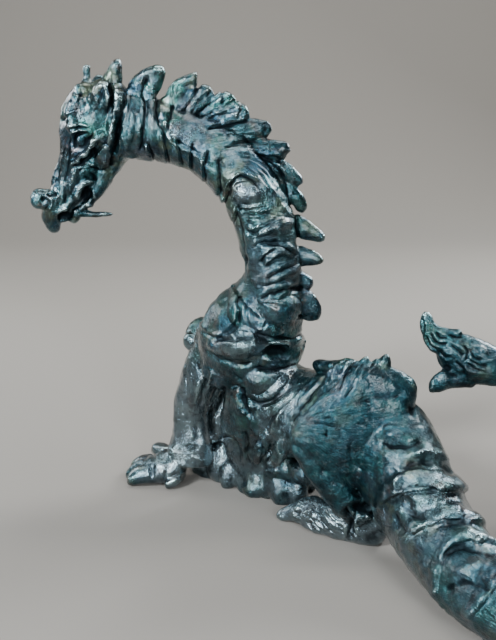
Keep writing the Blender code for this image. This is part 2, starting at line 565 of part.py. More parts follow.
def cut_flat(figure):
    """Cuts away all that is below the floor and closes each sole with one flat face."""
    body = bmesh.new()
    body.from_mesh(figure.data)
    everything = body.verts[:] + body.edges[:] + body.faces[:]
    cut = bmesh.ops.bisect_plane(body, geom=everything, plane_co=(0, 0, SINK), plane_no=(0, 0, -1),
                                 clear_outer=True)
    rim = [item for item in cut["geom_cut"] if isinstance(item, bmesh.types.BMEdge)]
    bmesh.ops.holes_fill(body, edges=rim, sides=0)
    bmesh.ops.triangulate(body, faces=[face for face in body.faces if len(face.verts) > 3])
    bmesh.ops.recalc_face_normals(body, faces=body.faces)
    # From units to metres, with the footprint's centre at the origin
    for vert in body.verts:
        vert.co = ((vert.co.x - CENTRE_X) * UNIT, (vert.co.y - CENTRE_Y) * UNIT, (vert.co.z - SINK) * UNIT)
    body.to_mesh(figure.data)
    body.free()


def patina():
    bronze = bpy.data.materials.new("patinated bronze")
    bronze.use_nodes = True
    shader = bronze.node_tree.nodes["Principled BSDF"]
    shader.inputs["Base Color"].default_value = PATINA
    shader.inputs["Metallic"].default_value = 0.85
    shader.inputs["Roughness"].default_value = 0.38
    return bronze


def main():
    clear_scene()
    clay = Clay()
    for add in (add_neck, add_scutes, add_folds, add_neck_carving, add_collar, add_head, add_trunk,
                add_forelegs, add_haunch,
                add_ribs, add_hind_feet, add_tail):
        add(clay)
    dragon = cast(clay, "dragon")
    cut_flat(dragon)
    dragon.data.materials.append(patina())
    home = bpy.data.collections.new("bronze_dragon")
    bpy.context.scene.collection.children.link(home)
    bpy.context.scene.collection.objects.unlink(dragon)
    home.objects.link(dragon)


main()
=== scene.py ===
"""The looks of a cast bronze dragon: its full relief, its patina, a pale floor, soft light and a camera.

The camera stands where the photograph's did. The figure is drawn in units, UNITS_HIGH of them to its
height, with +X to the right, +Y away from the side that shows and +Z up, and is then set into the frame
in metres.
"""

import math
import random

import bmesh
import bpy
import numpy as np
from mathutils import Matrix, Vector
from mathutils.kdtree import KDTree


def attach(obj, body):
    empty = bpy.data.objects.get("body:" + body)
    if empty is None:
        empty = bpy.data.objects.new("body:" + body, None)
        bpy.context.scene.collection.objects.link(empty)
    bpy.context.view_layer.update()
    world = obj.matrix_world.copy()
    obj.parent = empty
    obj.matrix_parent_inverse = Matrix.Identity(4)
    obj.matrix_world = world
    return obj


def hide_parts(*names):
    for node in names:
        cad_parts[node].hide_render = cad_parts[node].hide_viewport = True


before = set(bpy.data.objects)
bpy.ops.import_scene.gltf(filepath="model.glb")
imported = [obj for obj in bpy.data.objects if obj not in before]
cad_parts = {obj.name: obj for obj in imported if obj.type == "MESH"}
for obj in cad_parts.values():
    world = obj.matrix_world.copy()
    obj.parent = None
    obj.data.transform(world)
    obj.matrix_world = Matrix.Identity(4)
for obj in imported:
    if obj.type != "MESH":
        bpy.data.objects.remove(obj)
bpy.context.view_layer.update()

HEIGHT = 0.205  # floor to the tip of the tallest frill, in metres
UNITS_HIGH = 205.0
UNIT = HEIGHT / UNITS_HIGH
CENTRE_X = 58.2  # middle of the figure's footprint, in units
CENTRE_Y = -9.4
SINK = 0.9  # level at which the soles are cut flat, in units
GRAIN = 0.5  # cell of the skin, in units
FACES = 195000  # triangles that the skin is thinned to
DETAIL = 3  # how many times finer than the coarsest each form is drawn
SEED = 7
LOBES = 7  # petals of skin along the lower edge of the sheet under the chest
FAR_TOES = 3
TUFTS = 6  # along the top edge of the haunch

NEAR = np.array([0.0, -1.0, 0.0])
UP = np.array([0.0, 0.0, 1.0])


def unit(vectors):
    vectors = np.asarray(vectors, float)
    return vectors / np.maximum(np.linalg.norm(vectors, axis=-1, keepdims=True), 1e-9)


def smooth(rows, count):
    """A Catmull-Rom run through rows of numbers, resampled evenly along its first three columns."""
    rows = np.asarray(rows, float)
    rows = np.vstack([2 * rows[0] - rows[1], rows, 2 * rows[-1] - rows[-2]])
    fine = []
    for a, b, c, d in zip(rows[:-3], rows[1:-2], rows[2:-1], rows[3:]):
        for t in np.linspace(0, 1, 16, endpoint=False):
            square = 2 * a - 5 * b + 4 * c - d
            cube = 3 * b - a - 3 * c + d
            fine.append(0.5 * (2 * b + (c - a) * t + square * t**2 + cube * t**3))
    fine = np.array(fine + [rows[-2]])
    along = np.concatenate([[0], np.cumsum(np.linalg.norm(np.diff(fine[:, :3], axis=0), axis=1))])
    even = np.linspace(0, along[-1], count)
    return np.stack([np.interp(even, along, column) for column in fine.T], 1)


def into_frame(x, y, z):
    """From the figure's units to metres in the frame."""
    return (x - CENTRE_X) * UNIT, (y - CENTRE_Y) * UNIT, (z - SINK) * UNIT


class Clay:
    """Gathers the overlapping forms that are later cast as one skin."""

    def __init__(self):
        self.points = []
        self.faces = []
        self.count = 0
        self.globes = {}

    def globe(self, sides, rings):
        """A UV sphere, kept as its unit points and faces, that each form is drawn out of."""
        if (sides, rings) not in self.globes:
            mesh = bmesh.new()
            bmesh.ops.create_uvsphere(mesh, u_segments=sides, v_segments=rings, radius=1)
            points = np.array([v.co[:] for v in mesh.verts])
            faces = [[v.index for v in face.verts] for face in mesh.faces]
            mesh.free()
            self.globes[sides, rings] = points, faces
        return self.globes[sides, rings]

    def stretch(self, centres, wides, thicks, sides=16, ends=(0.1, 0.1), power=2.0):
        """Draws a sphere out along centres, with half width and half thickness vectors at each of them."""
        points, faces = self.globe(sides * DETAIL, len(centres))
        place = np.arccos(np.clip(points[:, 2], -1, 1)) / math.pi
        steps = np.linspace(0, 1, len(centres))
        centre, wide, thick = (
            np.stack([np.interp(place, steps, column) for column in np.asarray(table, float).T], 1)
            for table in (centres, wides, thicks)
        )
        rounding = np.ones(len(place))
        for end, reach in zip((place, 1 - place), ends):
            rounding *= np.sqrt(1 - (1 - np.clip(end / max(reach, 1e-3), 0, 1)) ** 2)
        turn = np.arctan2(points[:, 1], points[:, 0])
        cos = np.sign(np.cos(turn)) * np.abs(np.cos(turn)) ** (2 / power) * rounding
        sin = np.sign(np.sin(turn)) * np.abs(np.sin(turn)) ** (2 / power) * rounding
        self.points.append(centre + cos[:, None] * wide + sin[:, None] * thick)
        self.faces.extend([[index + self.count for index in face] for face in faces])
        self.count += len(points)

    def tube(self, rows, across=NEAR, sides=18, rings=None, ends=(0.08, 0.08), power=2.0):
        """A tube through rows of x, y, z, half width along `across` and half height square to it."""
        rings = (rings or max(8, 5 * len(rows))) * DETAIL
        table = smooth(rows, rings)
        centres = table[:, :3]
        forward = unit(np.gradient(centres, axis=0))
        side = unit(across - (forward @ across)[:, None] * forward)
        back = np.cross(side, forward)
        self.stretch(centres, side * table[:, 3:4], back * table[:, 4:5], sides, ends, power)

    def ball(self, centre, radii, axis=(1.0, 0.0, 0.0), across=NEAR):
        """An egg: radii are along axis, across and square to both."""
        centre, axis = np.asarray(centre, float), unit(axis)
        side = unit(np.asarray(across, float) - (np.asarray(across, float) @ axis) * axis)
        back = np.cross(side, axis)
        steps = -np.cos(np.linspace(0, math.pi, 9))
        centres = centre + steps[:, None] * radii[0] * axis
        girth = np.sqrt(np.maximum(1 - steps**2, 0))[:, None]
        self.stretch(centres, girth * radii[1] * side, girth * radii[2] * back, 14, (0.0, 0.0))

    def mesh(self, name):
        made = bpy.data.meshes.new(name)
        made.from_pydata(np.vstack(self.points).tolist(), [], self.faces)
        made.update()
        return made


class Spine:
    """A limb's centre line with its back-to-belly and side half sizes, for what is laid on its skin."""

    def __init__(self, rows, count=160):
        self.table = smooth(rows, count)
        self.centre = self.table[:, :3]
        self.forward = unit(np.gradient(self.centre, axis=0))
        self.near = unit(NEAR - (self.forward @ NEAR)[:, None] * self.forward)
        self.back = np.cross(self.near, self.forward)

    def lay(self, points, side=1.0, clear=0.0):
        """Takes x, z points drawn on the side view to the skin, with the skin's outward direction there."""
        placed, outward, along = [], [], []
        for x, z in points:
            gap = np.hypot(self.centre[:, 0] - x, self.centre[:, 2] - z)
            i = int(np.argmin(gap))
            breadth, rise = self.table[i, 3:5]
            offset = np.array([x, 0, z]) - self.centre[i]
            offset[1] = 0
            level = float(offset @ self.back[i])
            share = np.clip(level / rise, -0.999, 0.999)
            depth = breadth * math.sqrt(1 - share**2)
            placed.append(np.array([x, self.centre[i, 1], z]) + side * NEAR * (depth + clear))
            # Beyond the back the leaf stands free in the middle plane and faces sideways
            free = np.interp(level / rise, [0.75, 1.1], [0, 1])
            tangent = (1 - free) * share / rise
            bulge = max(math.sqrt(1 - share**2), free)
            outward.append(tangent * self.back[i] + side * NEAR * bulge / breadth)
            along.append(self.forward[i])
        return np.array(placed), unit(outward), unit(along)


# Neck: x, y, z, half breadth, half depth, from the back of the head down to the chest
NECK = [
    (-64, 44, 179, 11, 14.5),
    (-52, 44, 178, 11.5, 14.5),
    (-42, 44, 176.5, 12, 13.5),
    (-30.5, 43, 174, 12, 12.5),
    (-18.7, 42, 169.4, 12, 12.5),
    (-8.5, 41, 162, 12.5, 13),
    (0, 40, 152, 12.5, 13),
    (6, 39, 140, 12.5, 13),
    (9.3, 39, 126, 12.5, 12.6),
    (11, 42, 111, 14, 13),
    (8, 46, 97, 17, 18),
    (2, 52, 80, 22, 25),
    (4, 57, 62, 21, 23),
]
neck = Spine(NECK)

# Frill down the back of the neck, each plate in the middle plane: x, z, half width, from its root to its tip
FRILL = [
    [(-61, 186, 5.4), (-59.4, 193, 4.8), (-57.2, 200, 3.2), (-55, 206.2, 1.3)],
    [(-48, 181, 8.6), (-46.6, 188.6, 7.8), (-43.6, 194.6, 6.2), (-39, 198.6, 4.4), (-35.2, 200.4, 2.6)],
    [(-31, 178, 7.8), (-30.4, 186.4, 7.0), (-28.2, 192.6, 5.2), (-25, 197, 3.0), (-21.6, 200.6, 0.9)],
    [(-27, 181, 6.0), (-21, 188.6, 5.6), (-16.4, 194.6, 2.8)],
    [(-17, 180, 5.6), (-11.5, 186.6, 5.0), (-6.4, 191, 3.0)],
    [(-11, 177.4, 5.4), (-4.5, 182.8, 5.2), (0, 185.6, 3.6)],
    [(-13, 172, 5.8), (-3, 175.8, 5.2), (3.5, 176.7, 4.4), (10.4, 176.2, 3.2)],
    [(-3, 168.4, 5.0), (6, 168, 4.6), (12, 167.9, 4.2), (18.6, 167.4, 3.8)],
    [(5, 163.5, 4.6), (14, 159.4, 4.2), (20, 155.6, 3.4), (24.6, 153.2, 2.3)],
    [(11, 152.5, 4.2), (18.6, 149, 4.0), (23.2, 144, 3.2), (24, 140.4, 1.8)],
    [(14, 137, 5.6), (22, 134, 5.0), (28.5, 131.4, 3.7), (34.4, 128, 1.4)],
    [(14, 124, 5.4), (23, 120.8, 4.6), (30, 119.4, 3.0), (34.0, 118.7, 1.3)],
    [(14, 114, 5.2), (22, 110.6, 4.4), (29.6, 107.4, 2.4)],
    [(12, 104, 6.0), (21, 101.6, 6.8), (28, 96.4, 5.6), (32, 91.2, 2.2)],
]
FRILL_Y = 41.0
FRILL_THICK = 2.6


def add_neck(clay):
    clay.tube(NECK, rings=60, sides=28, ends=(0.05, 0.05))
    for rows in FRILL:
        table = smooth([(x, FRILL_Y, z, half) for x, z, half in rows], 16)
        centres = table[:, :3]
        wide = np.cross(unit(np.gradient(centres, axis=0)), NEAR) * table[:, 3:4]
        thick = NEAR * FRILL_THICK * np.linspace(1.5, 0.75, len(table))[:, None]
        clay.stretch(centres, wide, thick, 16, (0.12, 0.14), 1.7)


# Rolls on the flank of the neck: half width, how far they stand out, and their line as x, z on the side view
FOLDS = [
    (2.4, 1.4, [(1, 131), (6, 135), (14, 137.5), (22, 136)]),
    (2.8, 1.8, [(3, 121), (8, 125.5), (15, 126.5), (22, 124)]),
    (3.4, 2.0, [(3, 111.5), (9, 114.5), (16, 117), (24, 119)]),
    (3.6, 1.8, [(4, 103.5), (12, 107), (20, 109.5)]),
    (5.6, 2.4, [(6, 95), (15, 99), (24, 98)]),
    (5.0, 2.0, [(-8, 107), (-5, 98), (3, 91), (16, 88)]),
]


def add_folds(clay):
    """Rolls pressed on the neck's skin, alike on both flanks."""
    for side in (1, -1):
        for half, proud, path in FOLDS:
            drawn = smooth([(x, 0, z) for x, z in path], 16)
            centres, outward, _ = neck.lay(drawn[:, [0, 2]], side)
            across = np.cross(unit(np.gradient(centres, axis=0)), outward)
            taper = (1 - 0.45 * np.linspace(-1, 1, len(drawn)) ** 2)[:, None]
            clay.stretch(centres, across * half * taper, outward * proud * taper, 14, (0.3, 0.2))


def add_collar(clay):
    """Heavy rolls of skin where the neck meets the chest."""
    clay.tube([(-21, 50, 77, 2.5, 3), (-11, 38, 79, 4.4, 5.6), (-1, 31, 83, 6.4, 8), (7, 33, 82, 4, 4.6),
               (14, 35, 84.5, 3.4, 3.6), (21, 44, 82, 4, 4), (22, 60, 76, 4, 5)], across=UP, rings=36,
              ends=(0.15, 0.15))
    clay.tube([(-24, 80, 75, 4, 5), (-6, 84, 74, 5, 6), (10, 78, 76, 5, 6), (19, 68, 78, 4, 5)], across=UP)
    clay.ball((-22, 77, 74), (9, 8, 9))
    clay.ball((-27, 72, 72), (5, 5, 5))


# Head: its own frame runs from the occiput down the face, out of the brow and to the near side
OCCIPUT = np.array([-60.0, 44.0, 187.0])
HEAD_FORWARD = unit([-0.542, 0.0, -0.841])
HEAD_ROLL = math.radians(14)
LEVEL_BROW = np.array([HEAD_FORWARD[2], 0.0, -HEAD_FORWARD[0]])
HEAD_BROW = LEVEL_BROW * math.cos(HEAD_ROLL) + NEAR * math.sin(HEAD_ROLL)
HEAD_NEAR = NEAR * math.cos(HEAD_ROLL) - LEVEL_BROW * math.sin(HEAD_ROLL)


def on_head(along, brow, near):
    return OCCIPUT + along * HEAD_FORWARD + brow * HEAD_BROW + near * HEAD_NEAR


def head_tube(clay, rows, **options):
    """A tube whose rows are along, brow, near, half width and half height in the head's frame."""
    clay.tube([(*on_head(a, b, n), wide, tall) for a, b, n, wide, tall in rows], across=HEAD_NEAR, **options)


def add_skull(clay):
    head_tube(clay, [(-8, -5, 0, 7.5, 9), (2, 0.5, 0, 10, 12), (12, 1.5, 0, 10.2, 13.4),
                     (20, 0, 0, 9.2, 12), (28, -2.2, 0, 7.4, 9.6), (37, -3.2, 0, 6.4, 7.2),
                     (46, -2.2, 0, 6.2, 6), (54, -2.4, 0, 5.8, 5), (59.5, -4, 0, 4.2, 3.8)], rings=44,
              sides=26)
    # Upper lip, hooked like a beak
    head_tube(clay, [(50, -0.6, 0, 5.6, 4.6), (55, -2.4, 0, 5, 4.4), (59, -5.4, 0, 3.6, 3.4),
                     (61.5, -8.6, 0, 1.3, 1.3)], ends=(0.2, 0.1))
    # Lower jaw, with its rounded hind lobe and its tip
    head_tube(clay, [(4, -11.5, 0, 7.6, 8.4), (16, -12.4, 0, 7.6, 6.8), (26, -13.2, 0, 6.6, 4.8),
                     (35, -14.2, 0, 5.8, 3.6), (42, -13, 0, 5.2, 2.4), (48, -11.6, 0, 5, 2.6),
                     (54.4, -10.2, 0, 4.2, 2.9)], rings=34)
    # Inside of the mouth, set back from both cheeks
    head_tube(clay, [(26, -9, 0, 4.4, 5), (34, -10, 0, 4.2, 4.6), (42, -9.2, 0, 3.6, 4.4),
                     (50, -7.4, 0, 2.8, 4.2), (56.5, -7, 0, 2.6, 3.2)])
    # Crest down the middle of the face
    head_tube(clay, [(-3, 12, 0, 3.4, 2.6), (6, 14.4, 0, 3.4, 2.4), (13, 13.6, 0, 3, 2.4),
                     (20, 10.6, 0, 2.4, 2), (30, 5.6, 0, 2, 1.8), (44, 3.4, 0, 1.8, 1.4)])


def add_cheek(clay, side):
    # Brow bone, eye and lids
    head_tube(clay, [(3, 13, 4 * side, 2.6, 2.6), (10, 13, 5.6 * side, 2.8, 3),
                     (15.4, 9.4, 7.4 * side, 2.4, 2.4), (19, 5, 7.4 * side, 1.4, 1.4)])
    clay.ball(on_head(19.6, 3.6, 7.2 * side), (2.9, 2.2, 2.7), HEAD_FORWARD, HEAD_NEAR)
    # Cheekbone, and the jaw muscle behind it
    head_tube(clay, [(8, -3, 8.6 * side, 2.2, 2.4), (14, -1.8, 9.2 * side, 2.6, 2.8),
                     (20, -0.4, 8.6 * side, 2.5, 2.4), (26, 1, 7.2 * side, 2, 1.8),
                     (32, 1, 5.6 * side, 1.4, 1.4)], ends=(0.2, 0.3))
    clay.ball(on_head(15, -9, 6.4 * side), (10, 4.4, 5.2), HEAD_FORWARD, HEAD_NEAR)
    # Lip
    head_tube(clay, [(31, -9.6, 5 * side, 1.6, 1.4), (36, -6.6, 5.6 * side, 1.8, 1.8),
                     (43, -6.8, 5.6 * side, 1.7, 1.8), (49.5, -4.8, 5 * side, 1.5, 1.5),
                     (54.5, -5, 3.6 * side, 1.3, 1.3)])
    clay.ball(on_head(49, -11, 3.6 * side), (3.4, 1.8, 1.6), HEAD_FORWARD, HEAD_NEAR)
    # Nostril: its wing and the knob that rolls over it
    clay.ball(on_head(50, 0.6, 4.4 * side), (4.4, 2.4, 3.4), HEAD_FORWARD, HEAD_NEAR)
    clay.ball(on_head(50.6, 3.2, 3.4 * side), (4.6, 2.6, 3.6), HEAD_FORWARD, HEAD_NEAR)
    clay.ball(on_head(51.6, 5.4, 3.2 * side), (4.3, 3.1, 3.9), HEAD_FORWARD, HEAD_NEAR)
    # Ear shell, and the edge of skin behind the jaw
    clay.ball(on_head(-1.7, 5.8, 8.6 * side), (6.8, 2.4, 4.2), -0.9 * HEAD_FORWARD + 0.43 * HEAD_BROW,
              HEAD_NEAR)
    head_tube(clay, [(-7, 2, 8.4 * side, 2, 3), (4, -8.4, 9.6 * side, 2.2, 3),
                     (11, -13.4, 8 * side, 2.2, 3), (16, -16, 5 * side, 1.6, 2)])


def add_head(clay):
    add_skull(clay)
    for side in (1, -1):
        add_cheek(clay, side)
    # The far horn, pinched below its knob, and the spike of the beard
    head_tube(clay, [(3, 10.6, -3, 3.8, 4), (-1.2, 12.1, -3.2, 2.8, 2.9), (-4.6, 13.7, -3.8, 1.5, 1.6),
                     (-6.8, 15, -4, 1.4, 1.5), (-9, 16.2, -4.2, 1.6, 1.6)], ends=(0.1, 0.1))
    head_tube(clay, [(49, -9.5, 3, 2.2, 2.2), (47.2, -13.6, 3.4, 1.6, 1.6), (44.5, -19, 3.8, 1.2, 1.2),
                     (40.6, -25.4, 4.2, 0.6, 0.6)], ends=(0.1, 0.1))


# Trunk: x, y, z, half breadth, half depth, from the chest to the hips
TRUNK = [
    (-4, 62, 58, 17, 19),
    (6, 56, 53, 20, 21),
    (18, 45, 47, 20, 21),
    (32, 32, 47, 19, 22),
    (46, 20, 49, 19, 25),
    (57, 11, 48, 19, 26),
]


def add_trunk(clay):
    clay.tube(TRUNK, across=unit([-0.7, -0.7, 0]), rings=40, sides=26, ends=(0.2, 0.2))
    # Swelling of the near shoulder and the folds that run from the back down to the near foreleg
    clay.ball((8, 42, 65), (15, 12.5, 12.5))
    clay.ball((-8, 48, 66), (13, 12, 12))
    for rows in (
        [(27, 30, 68, 3, 3), (20, 27, 56, 3.4, 3.4), (12, 28, 44, 3.4, 3.4), (6, 32, 32, 3, 3),
         (4, 36, 22, 2.6, 2.6)],
        [(33, 20, 62, 2.6, 2.6), (24, 20, 50, 3, 3), (17, 24, 38, 3.4, 3.4), (12, 30, 24, 3, 3)],
        [(18, 33, 68, 2.4, 2.4), (12, 31, 60, 2.6, 2.6), (2, 34, 52, 2.4, 2.4), (-4, 38, 46, 2, 2)],
        [(30, 34, 72, 3, 3), (38, 24, 74, 3, 3), (47, 18, 78, 3, 3)],
    ):
        clay.tube(rows, ends=(0.2, 0.2))
    # Bare mass behind the sheet of skin under the chest
    clay.tube([(10, 50, 20, 9, 12), (22, 46, 18, 9, 11), (34, 38, 20, 9, 12)], across=UP)


def toe(clay, root, knuckle, tip, girth):
    clay.tube([(*root, girth, girth), (*knuckle, girth * 1.05, girth), (*tip, girth * 0.45, girth * 0.4)],
              rings=12, ends=(0.15, 0.15), sides=12)


def add_forelegs(clay):
    # The leg that steps forward
    clay.tube([(-8, 62, 82, 13, 14), (-14, 63, 70, 13.5, 13.5), (-21, 63, 57, 11.5, 11.5),
               (-26.5, 63.5, 46, 8.8, 9.4), (-28.4, 63.5, 37, 7.2, 8.4), (-28.2, 64, 28, 7.4, 9),
               (-28, 63.6, 18, 8.8, 10.4), (-28.6, 63, 10.5, 9.4, 11)], rings=44, ends=(0.08, 0.02))
    clay.tube([(-31, 64, 10, 9, 8.5), (-38, 64, 9, 9.5, 8.5), (-46, 65, 7, 9.5, 6.5), (-54, 66, 5, 8, 5)],
              ends=(0.2, 0.25))
    # The far leg, in the shadow behind it
    clay.tube([(-5, 66, 88, 8, 8), (-10, 72, 74, 8.6, 10), (-13, 75, 60, 7.4, 10.4),
               (-14, 75, 46, 6.2, 9.6), (-14.6, 74, 32, 6, 8.6), (-15.6, 74, 18, 6.6, 8.8),
               (-17, 74, 6, 7.4, 9.6), (-17, 74, -2, 7.6, 10)], rings=36, ends=(0.25, 0.02))
    for i in range(FAR_TOES):
        root = np.array([-21 + 1.2 * i, 80 - 4.4 * i, 5.5])
        toe(clay, root, root + (-5, 3.4 - 1.6 * i, 0), root + (-9.6, 5.6 - 2.6 * i, -3.6), 3.6)
    for spread in (-1, 0, 1):
        toe(clay, (-44, 66 + 6 * spread, 6), (-54, 66 + 7 * spread, 6),
            (-62 + 2 * abs(spread), 66 + 8 * spread, 2), 4.2)
    toe(clay, (-40, 74, 10), (-46, 79, 11.5), (-50, 82, 9), 3.6)
    toe(clay, (-34, 58, 6), (-38, 55, 4), (-41, 54, 1.5), 2.8)
    # Soft step from the shin into the paw
    clay.tube([(-27, 65, 28, 8.5, 9), (-31.5, 64.5, 18, 8.6, 8.4), (-38, 64.5, 11.5, 8.4, 6.6)],
              ends=(0.3, 0.3))
    # The leg under the chest: a broad sheet of skin that ends in a row of petals
    clay.tube([(4, 43, 62, 12, 12), (1, 45, 49, 13, 11), (0, 49, 35, 14, 10), (2, 53, 21, 14.5, 9),
               (3, 55, 9, 14.5, 8)], across=unit([0.82, -0.57, 0]), rings=36)
    along = unit([0.81, -0.585, 0.0])
    outward = np.array([along[1], -along[0], 0.0])
    for i in range(LOBES):
        share = i / (LOBES - 1)
        foot = np.array([-14 + 38 * share, 66 - 27 * share ** 0.8, -1.4])
        breadth = 6.0 + 1.2 * math.cos(2.4 * i)
        slant = along * 3.0 * math.sin(2.1 * i)
        proud = outward * (1.0 + 1.6 * (i % 2))
        root = foot + slant + (0, 0, 19 + 3 * math.cos(1.7 * i))
        middle = foot + proud * 1.2 + 0.2 * slant + (0, 0, 8.5)
        clay.tube([(*root, 0.8 * breadth, 3.6), (*middle, breadth, 4.8),
                   (*(foot + proud - slant), 0.62 * breadth, 3.6)], across=along, rings=20,
                  ends=(0.3, 0.3))


def add_haunch(clay):
    """The near thigh and shank folded into one fan that opens from the knee."""
    clay.tube([(18.5, -3, 55, 2.2, 2.6), (24, -3, 54, 4.4, 11), (32, -2, 53, 7, 19.5),
               (41, 0, 52, 9.5, 28), (51, 3, 51, 12, 31), (61, 5, 45, 14, 26)], rings=40, sides=30,
              ends=(0.06, 0.2), power=1.8)
    clay.tube([(20, -2, 50, 3.6, 3.6), (31, -3, 34, 5, 5), (42, -2, 22, 6, 6.4), (52, 0, 14, 6.5, 7)],
              rings=20)
    # Tufts along the hips, a ragged top edge
    for i in range(TUFTS):
        x = 36 + 4.1 * i
        top = 82 + 0.6 * i + 1.4 * (i % 2)
        clay.tube([(x - 3, 6, top - 17, 4, 4.4), (x, 4, top - 7, 3.4, 3.6), (x + 1.8, 4, top, 1.1, 1.2)],
                  ends=(0.1, 0.2))


def add_hind_feet(clay):
    clay.tube([(62.5, 1, 8, 7, 8), (54, 2, 9, 8, 10.5), (45, 6, 8.5, 8.5, 9.6), (36, 11, 8, 8.5, 8.6),
               (29, 16, 7, 7.4, 7), (22.5, 19.4, 6, 4.8, 4.2), (17.5, 21, 4, 3, 2.8),
               (13, 22, 2.4, 1.4, 1.5)], ends=(0.12, 0.05), rings=40)
    # Far leg, brought forward under the belly
    clay.tube([(58, 34, 52, 13, 20), (48, 46, 42, 11, 14), (36, 56, 30, 9, 10), (30, 58, 17, 7.5, 8),
               (27, 57, 7, 7.5, 7.5)], across=unit([-0.7, -0.7, 0]), rings=30)
    clay.tube([(34, 58, 6, 7.5, 6.5), (26, 56, 6, 8, 6), (18, 54, 4, 6.5, 4)], ends=(0.2, 0.25))
    for spread in (-1, 0, 1):
        toe(clay, (24, 54 + 5 * spread, 7), (18, 51 + 6 * spread, 8), (14, 50 + 6 * spread, 1.5), 3.8)


# Tail: x, y, z, half breadth, half depth, from the hips round the right side to the lifted tip
TAIL = [
    (51, 14, 49, 20, 25),
    (61.5, 4, 41.5, 19, 24),
    (69, -10, 30.5, 18, 21),
    (75.5, -27, 21, 17, 18.5),
    (81.5, -44, 16.5, 16, 16.5),
    (88, -61, 15, 15, 15.5),
    (99.5, -78, 14, 14.5, 14.5),
    (117, -90, 12.5, 13, 13),
    (138, -96, 12, 12, 12.5),
    (160, -93, 12.5, 11.5, 12),
    (180, -81, 14.5, 10.8, 11),
    (196, -61, 19.5, 9.8, 10),
    (204, -36, 28, 8.8, 9),
    (201, -12, 40, 7.8, 8),
    (186, 8, 53, 7, 7.2),
    (163, 19, 65, 6.6, 6.8),
    (138, 21, 71, 6.4, 6.6),
    (118, 20, 73.5, 6.2, 6.6),
    (104, 20, 76.5, 7, 9),
    (93, 21, 81, 6, 9.6),
    (84, 23, 88, 4, 6.5),
]
TAIL_STATIONS = 240
TAIL_FOLDS_FROM = 23.0  # first and last fold, as stations along the tail
TAIL_FOLDS_TO = 205
TAIL_FOLD_SPACING = 0.62  # as a share of the tail's half depth there
TAIL_FOLD_LEAST = 4.5
tail = smooth(TAIL, TAIL_STATIONS)
tail_forward = unit(np.gradient(tail[:, :3], axis=0))
tail_back = unit(UP - (tail_forward @ UP)[:, None] * tail_forward)
tail_near = np.cross(tail_forward, tail_back)


def add_tail(clay):
    clay.stretch(tail[:, :3], tail_near * tail[:, 3:4], tail_back * tail[:, 4:5], 26, (0.02, 0.02))
    # Leaf of the tip: a spike that stands up, and a lower lobe
    clay.tube([(92, 21, 84, 4, 8), (84, 22.5, 87, 3.4, 6), (79.5, 24, 92, 2.6, 3.6),
               (77.5, 25, 99, 1.6, 1.8)], ends=(0.1, 0.15))
    clay.tube([(100, 20, 72, 4, 6), (89, 19, 71, 3.4, 4.8), (82.5, 18, 67.5, 2.8, 3.4),
               (80, 17, 65, 1.6, 1.8)], ends=(0.1, 0.2))
    # Folds across the tail, each lapping over the next, closer together toward the tip
    station = TAIL_FOLDS_FROM
    while station < TAIL_FOLDS_TO:
        i = int(station)
        breadth, rise = tail[i, 3:5]
        turns = np.radians(np.linspace(-20, 200, 17))
        wave = 0.22 * rise * np.sin(2 * turns + station)[:, None] * tail_forward[i]
        around = (tail[i, :3] + wave + np.cos(turns)[:, None] * breadth * 0.95 * tail_near[i]
                  + np.sin(turns)[:, None] * rise * 0.95 * tail_back[i])
        outward = unit(np.cos(turns)[:, None] * tail_near[i] + np.sin(turns)[:, None] * tail_back[i])
        edge = unit(tail_forward[i] * math.cos(0.4) + outward * math.sin(0.4))
        face = unit(outward - (outward * edge).sum(1)[:, None] * edge)
        clay.stretch(around, edge * 0.34 * rise, face * 0.12 * rise, 12, (0.35, 0.35))
        tip = tail[i, :3] + tail_back[i] * rise * 1.14 + tail_forward[i] * rise * 0.34
        root = tail[i, :3] + tail_back[i] * rise * 0.8
        clay.stretch([root, (root + tip) / 2, tip], [tail_forward[i] * rise * w for w in (0.26, 0.18, 0.05)],
                     [tail_near[i] * rise * w for w in (0.16, 0.11, 0.04)], 8, (0.1, 0.2))
        station += max(TAIL_FOLD_LEAST, TAIL_FOLD_SPACING * rise)


# Camera, in units: it looks along +Y and down
CAMERA = (0.0, -369.0, 201.0)
CAMERA_PITCH = math.radians(15)
CAMERA_HALF_HEIGHT = math.radians(19)
PICTURE = (496, 640)

KNEE_SEEN = (288, 428)  # where the carving of the haunch opens from, in pixels of the picture
LINES_SEEN = (292, 425)  # and where its fine strokes do
SHOULDER_LINES = 7  # fine strokes on the swelling over the collar, the haunch and the foot
HAUNCH_LINES = 90
FOOT_LINES = 70
NECK_MIDDLE = 42.0  # the plane in which the neck is mirrored, in units


def picture(points):
    """Where points fall on the camera's picture, in pixels from its upper left corner."""
    away = points[:, 1] - CAMERA[1]
    above = points[:, 2] - CAMERA[2]
    depth = away * math.cos(CAMERA_PITCH) - above * math.sin(CAMERA_PITCH)
    rise = away * math.sin(CAMERA_PITCH) + above * math.cos(CAMERA_PITCH)
    zoom = PICTURE[1] / 2 / math.tan(CAMERA_HALF_HEIGHT) / depth
    return np.stack([PICTURE[0] / 2 + (points[:, 0] - CAMERA[0]) * zoom, PICTURE[1] / 2 - rise * zoom], 1)


def turned(x, y, degrees):
    """How far along and across a direction on the picture, which is turned clockwise from the horizontal."""
    cos, sin = math.cos(math.radians(degrees)), math.sin(math.radians(degrees))
    return x * cos + y * sin, y * cos - x * sin


def away_from(centre, reach, angle):
    """The point at a distance from another one, with the angle in radians clockwise from the horizontal."""
    return centre[0] + reach * math.cos(angle), centre[1] + reach * math.sin(angle)


def within(points, centre, radii):
    """Near 1 inside an egg and near 0 outside it."""
    return np.exp(-(((points - centre) / radii) ** 2).sum(1) ** 2)


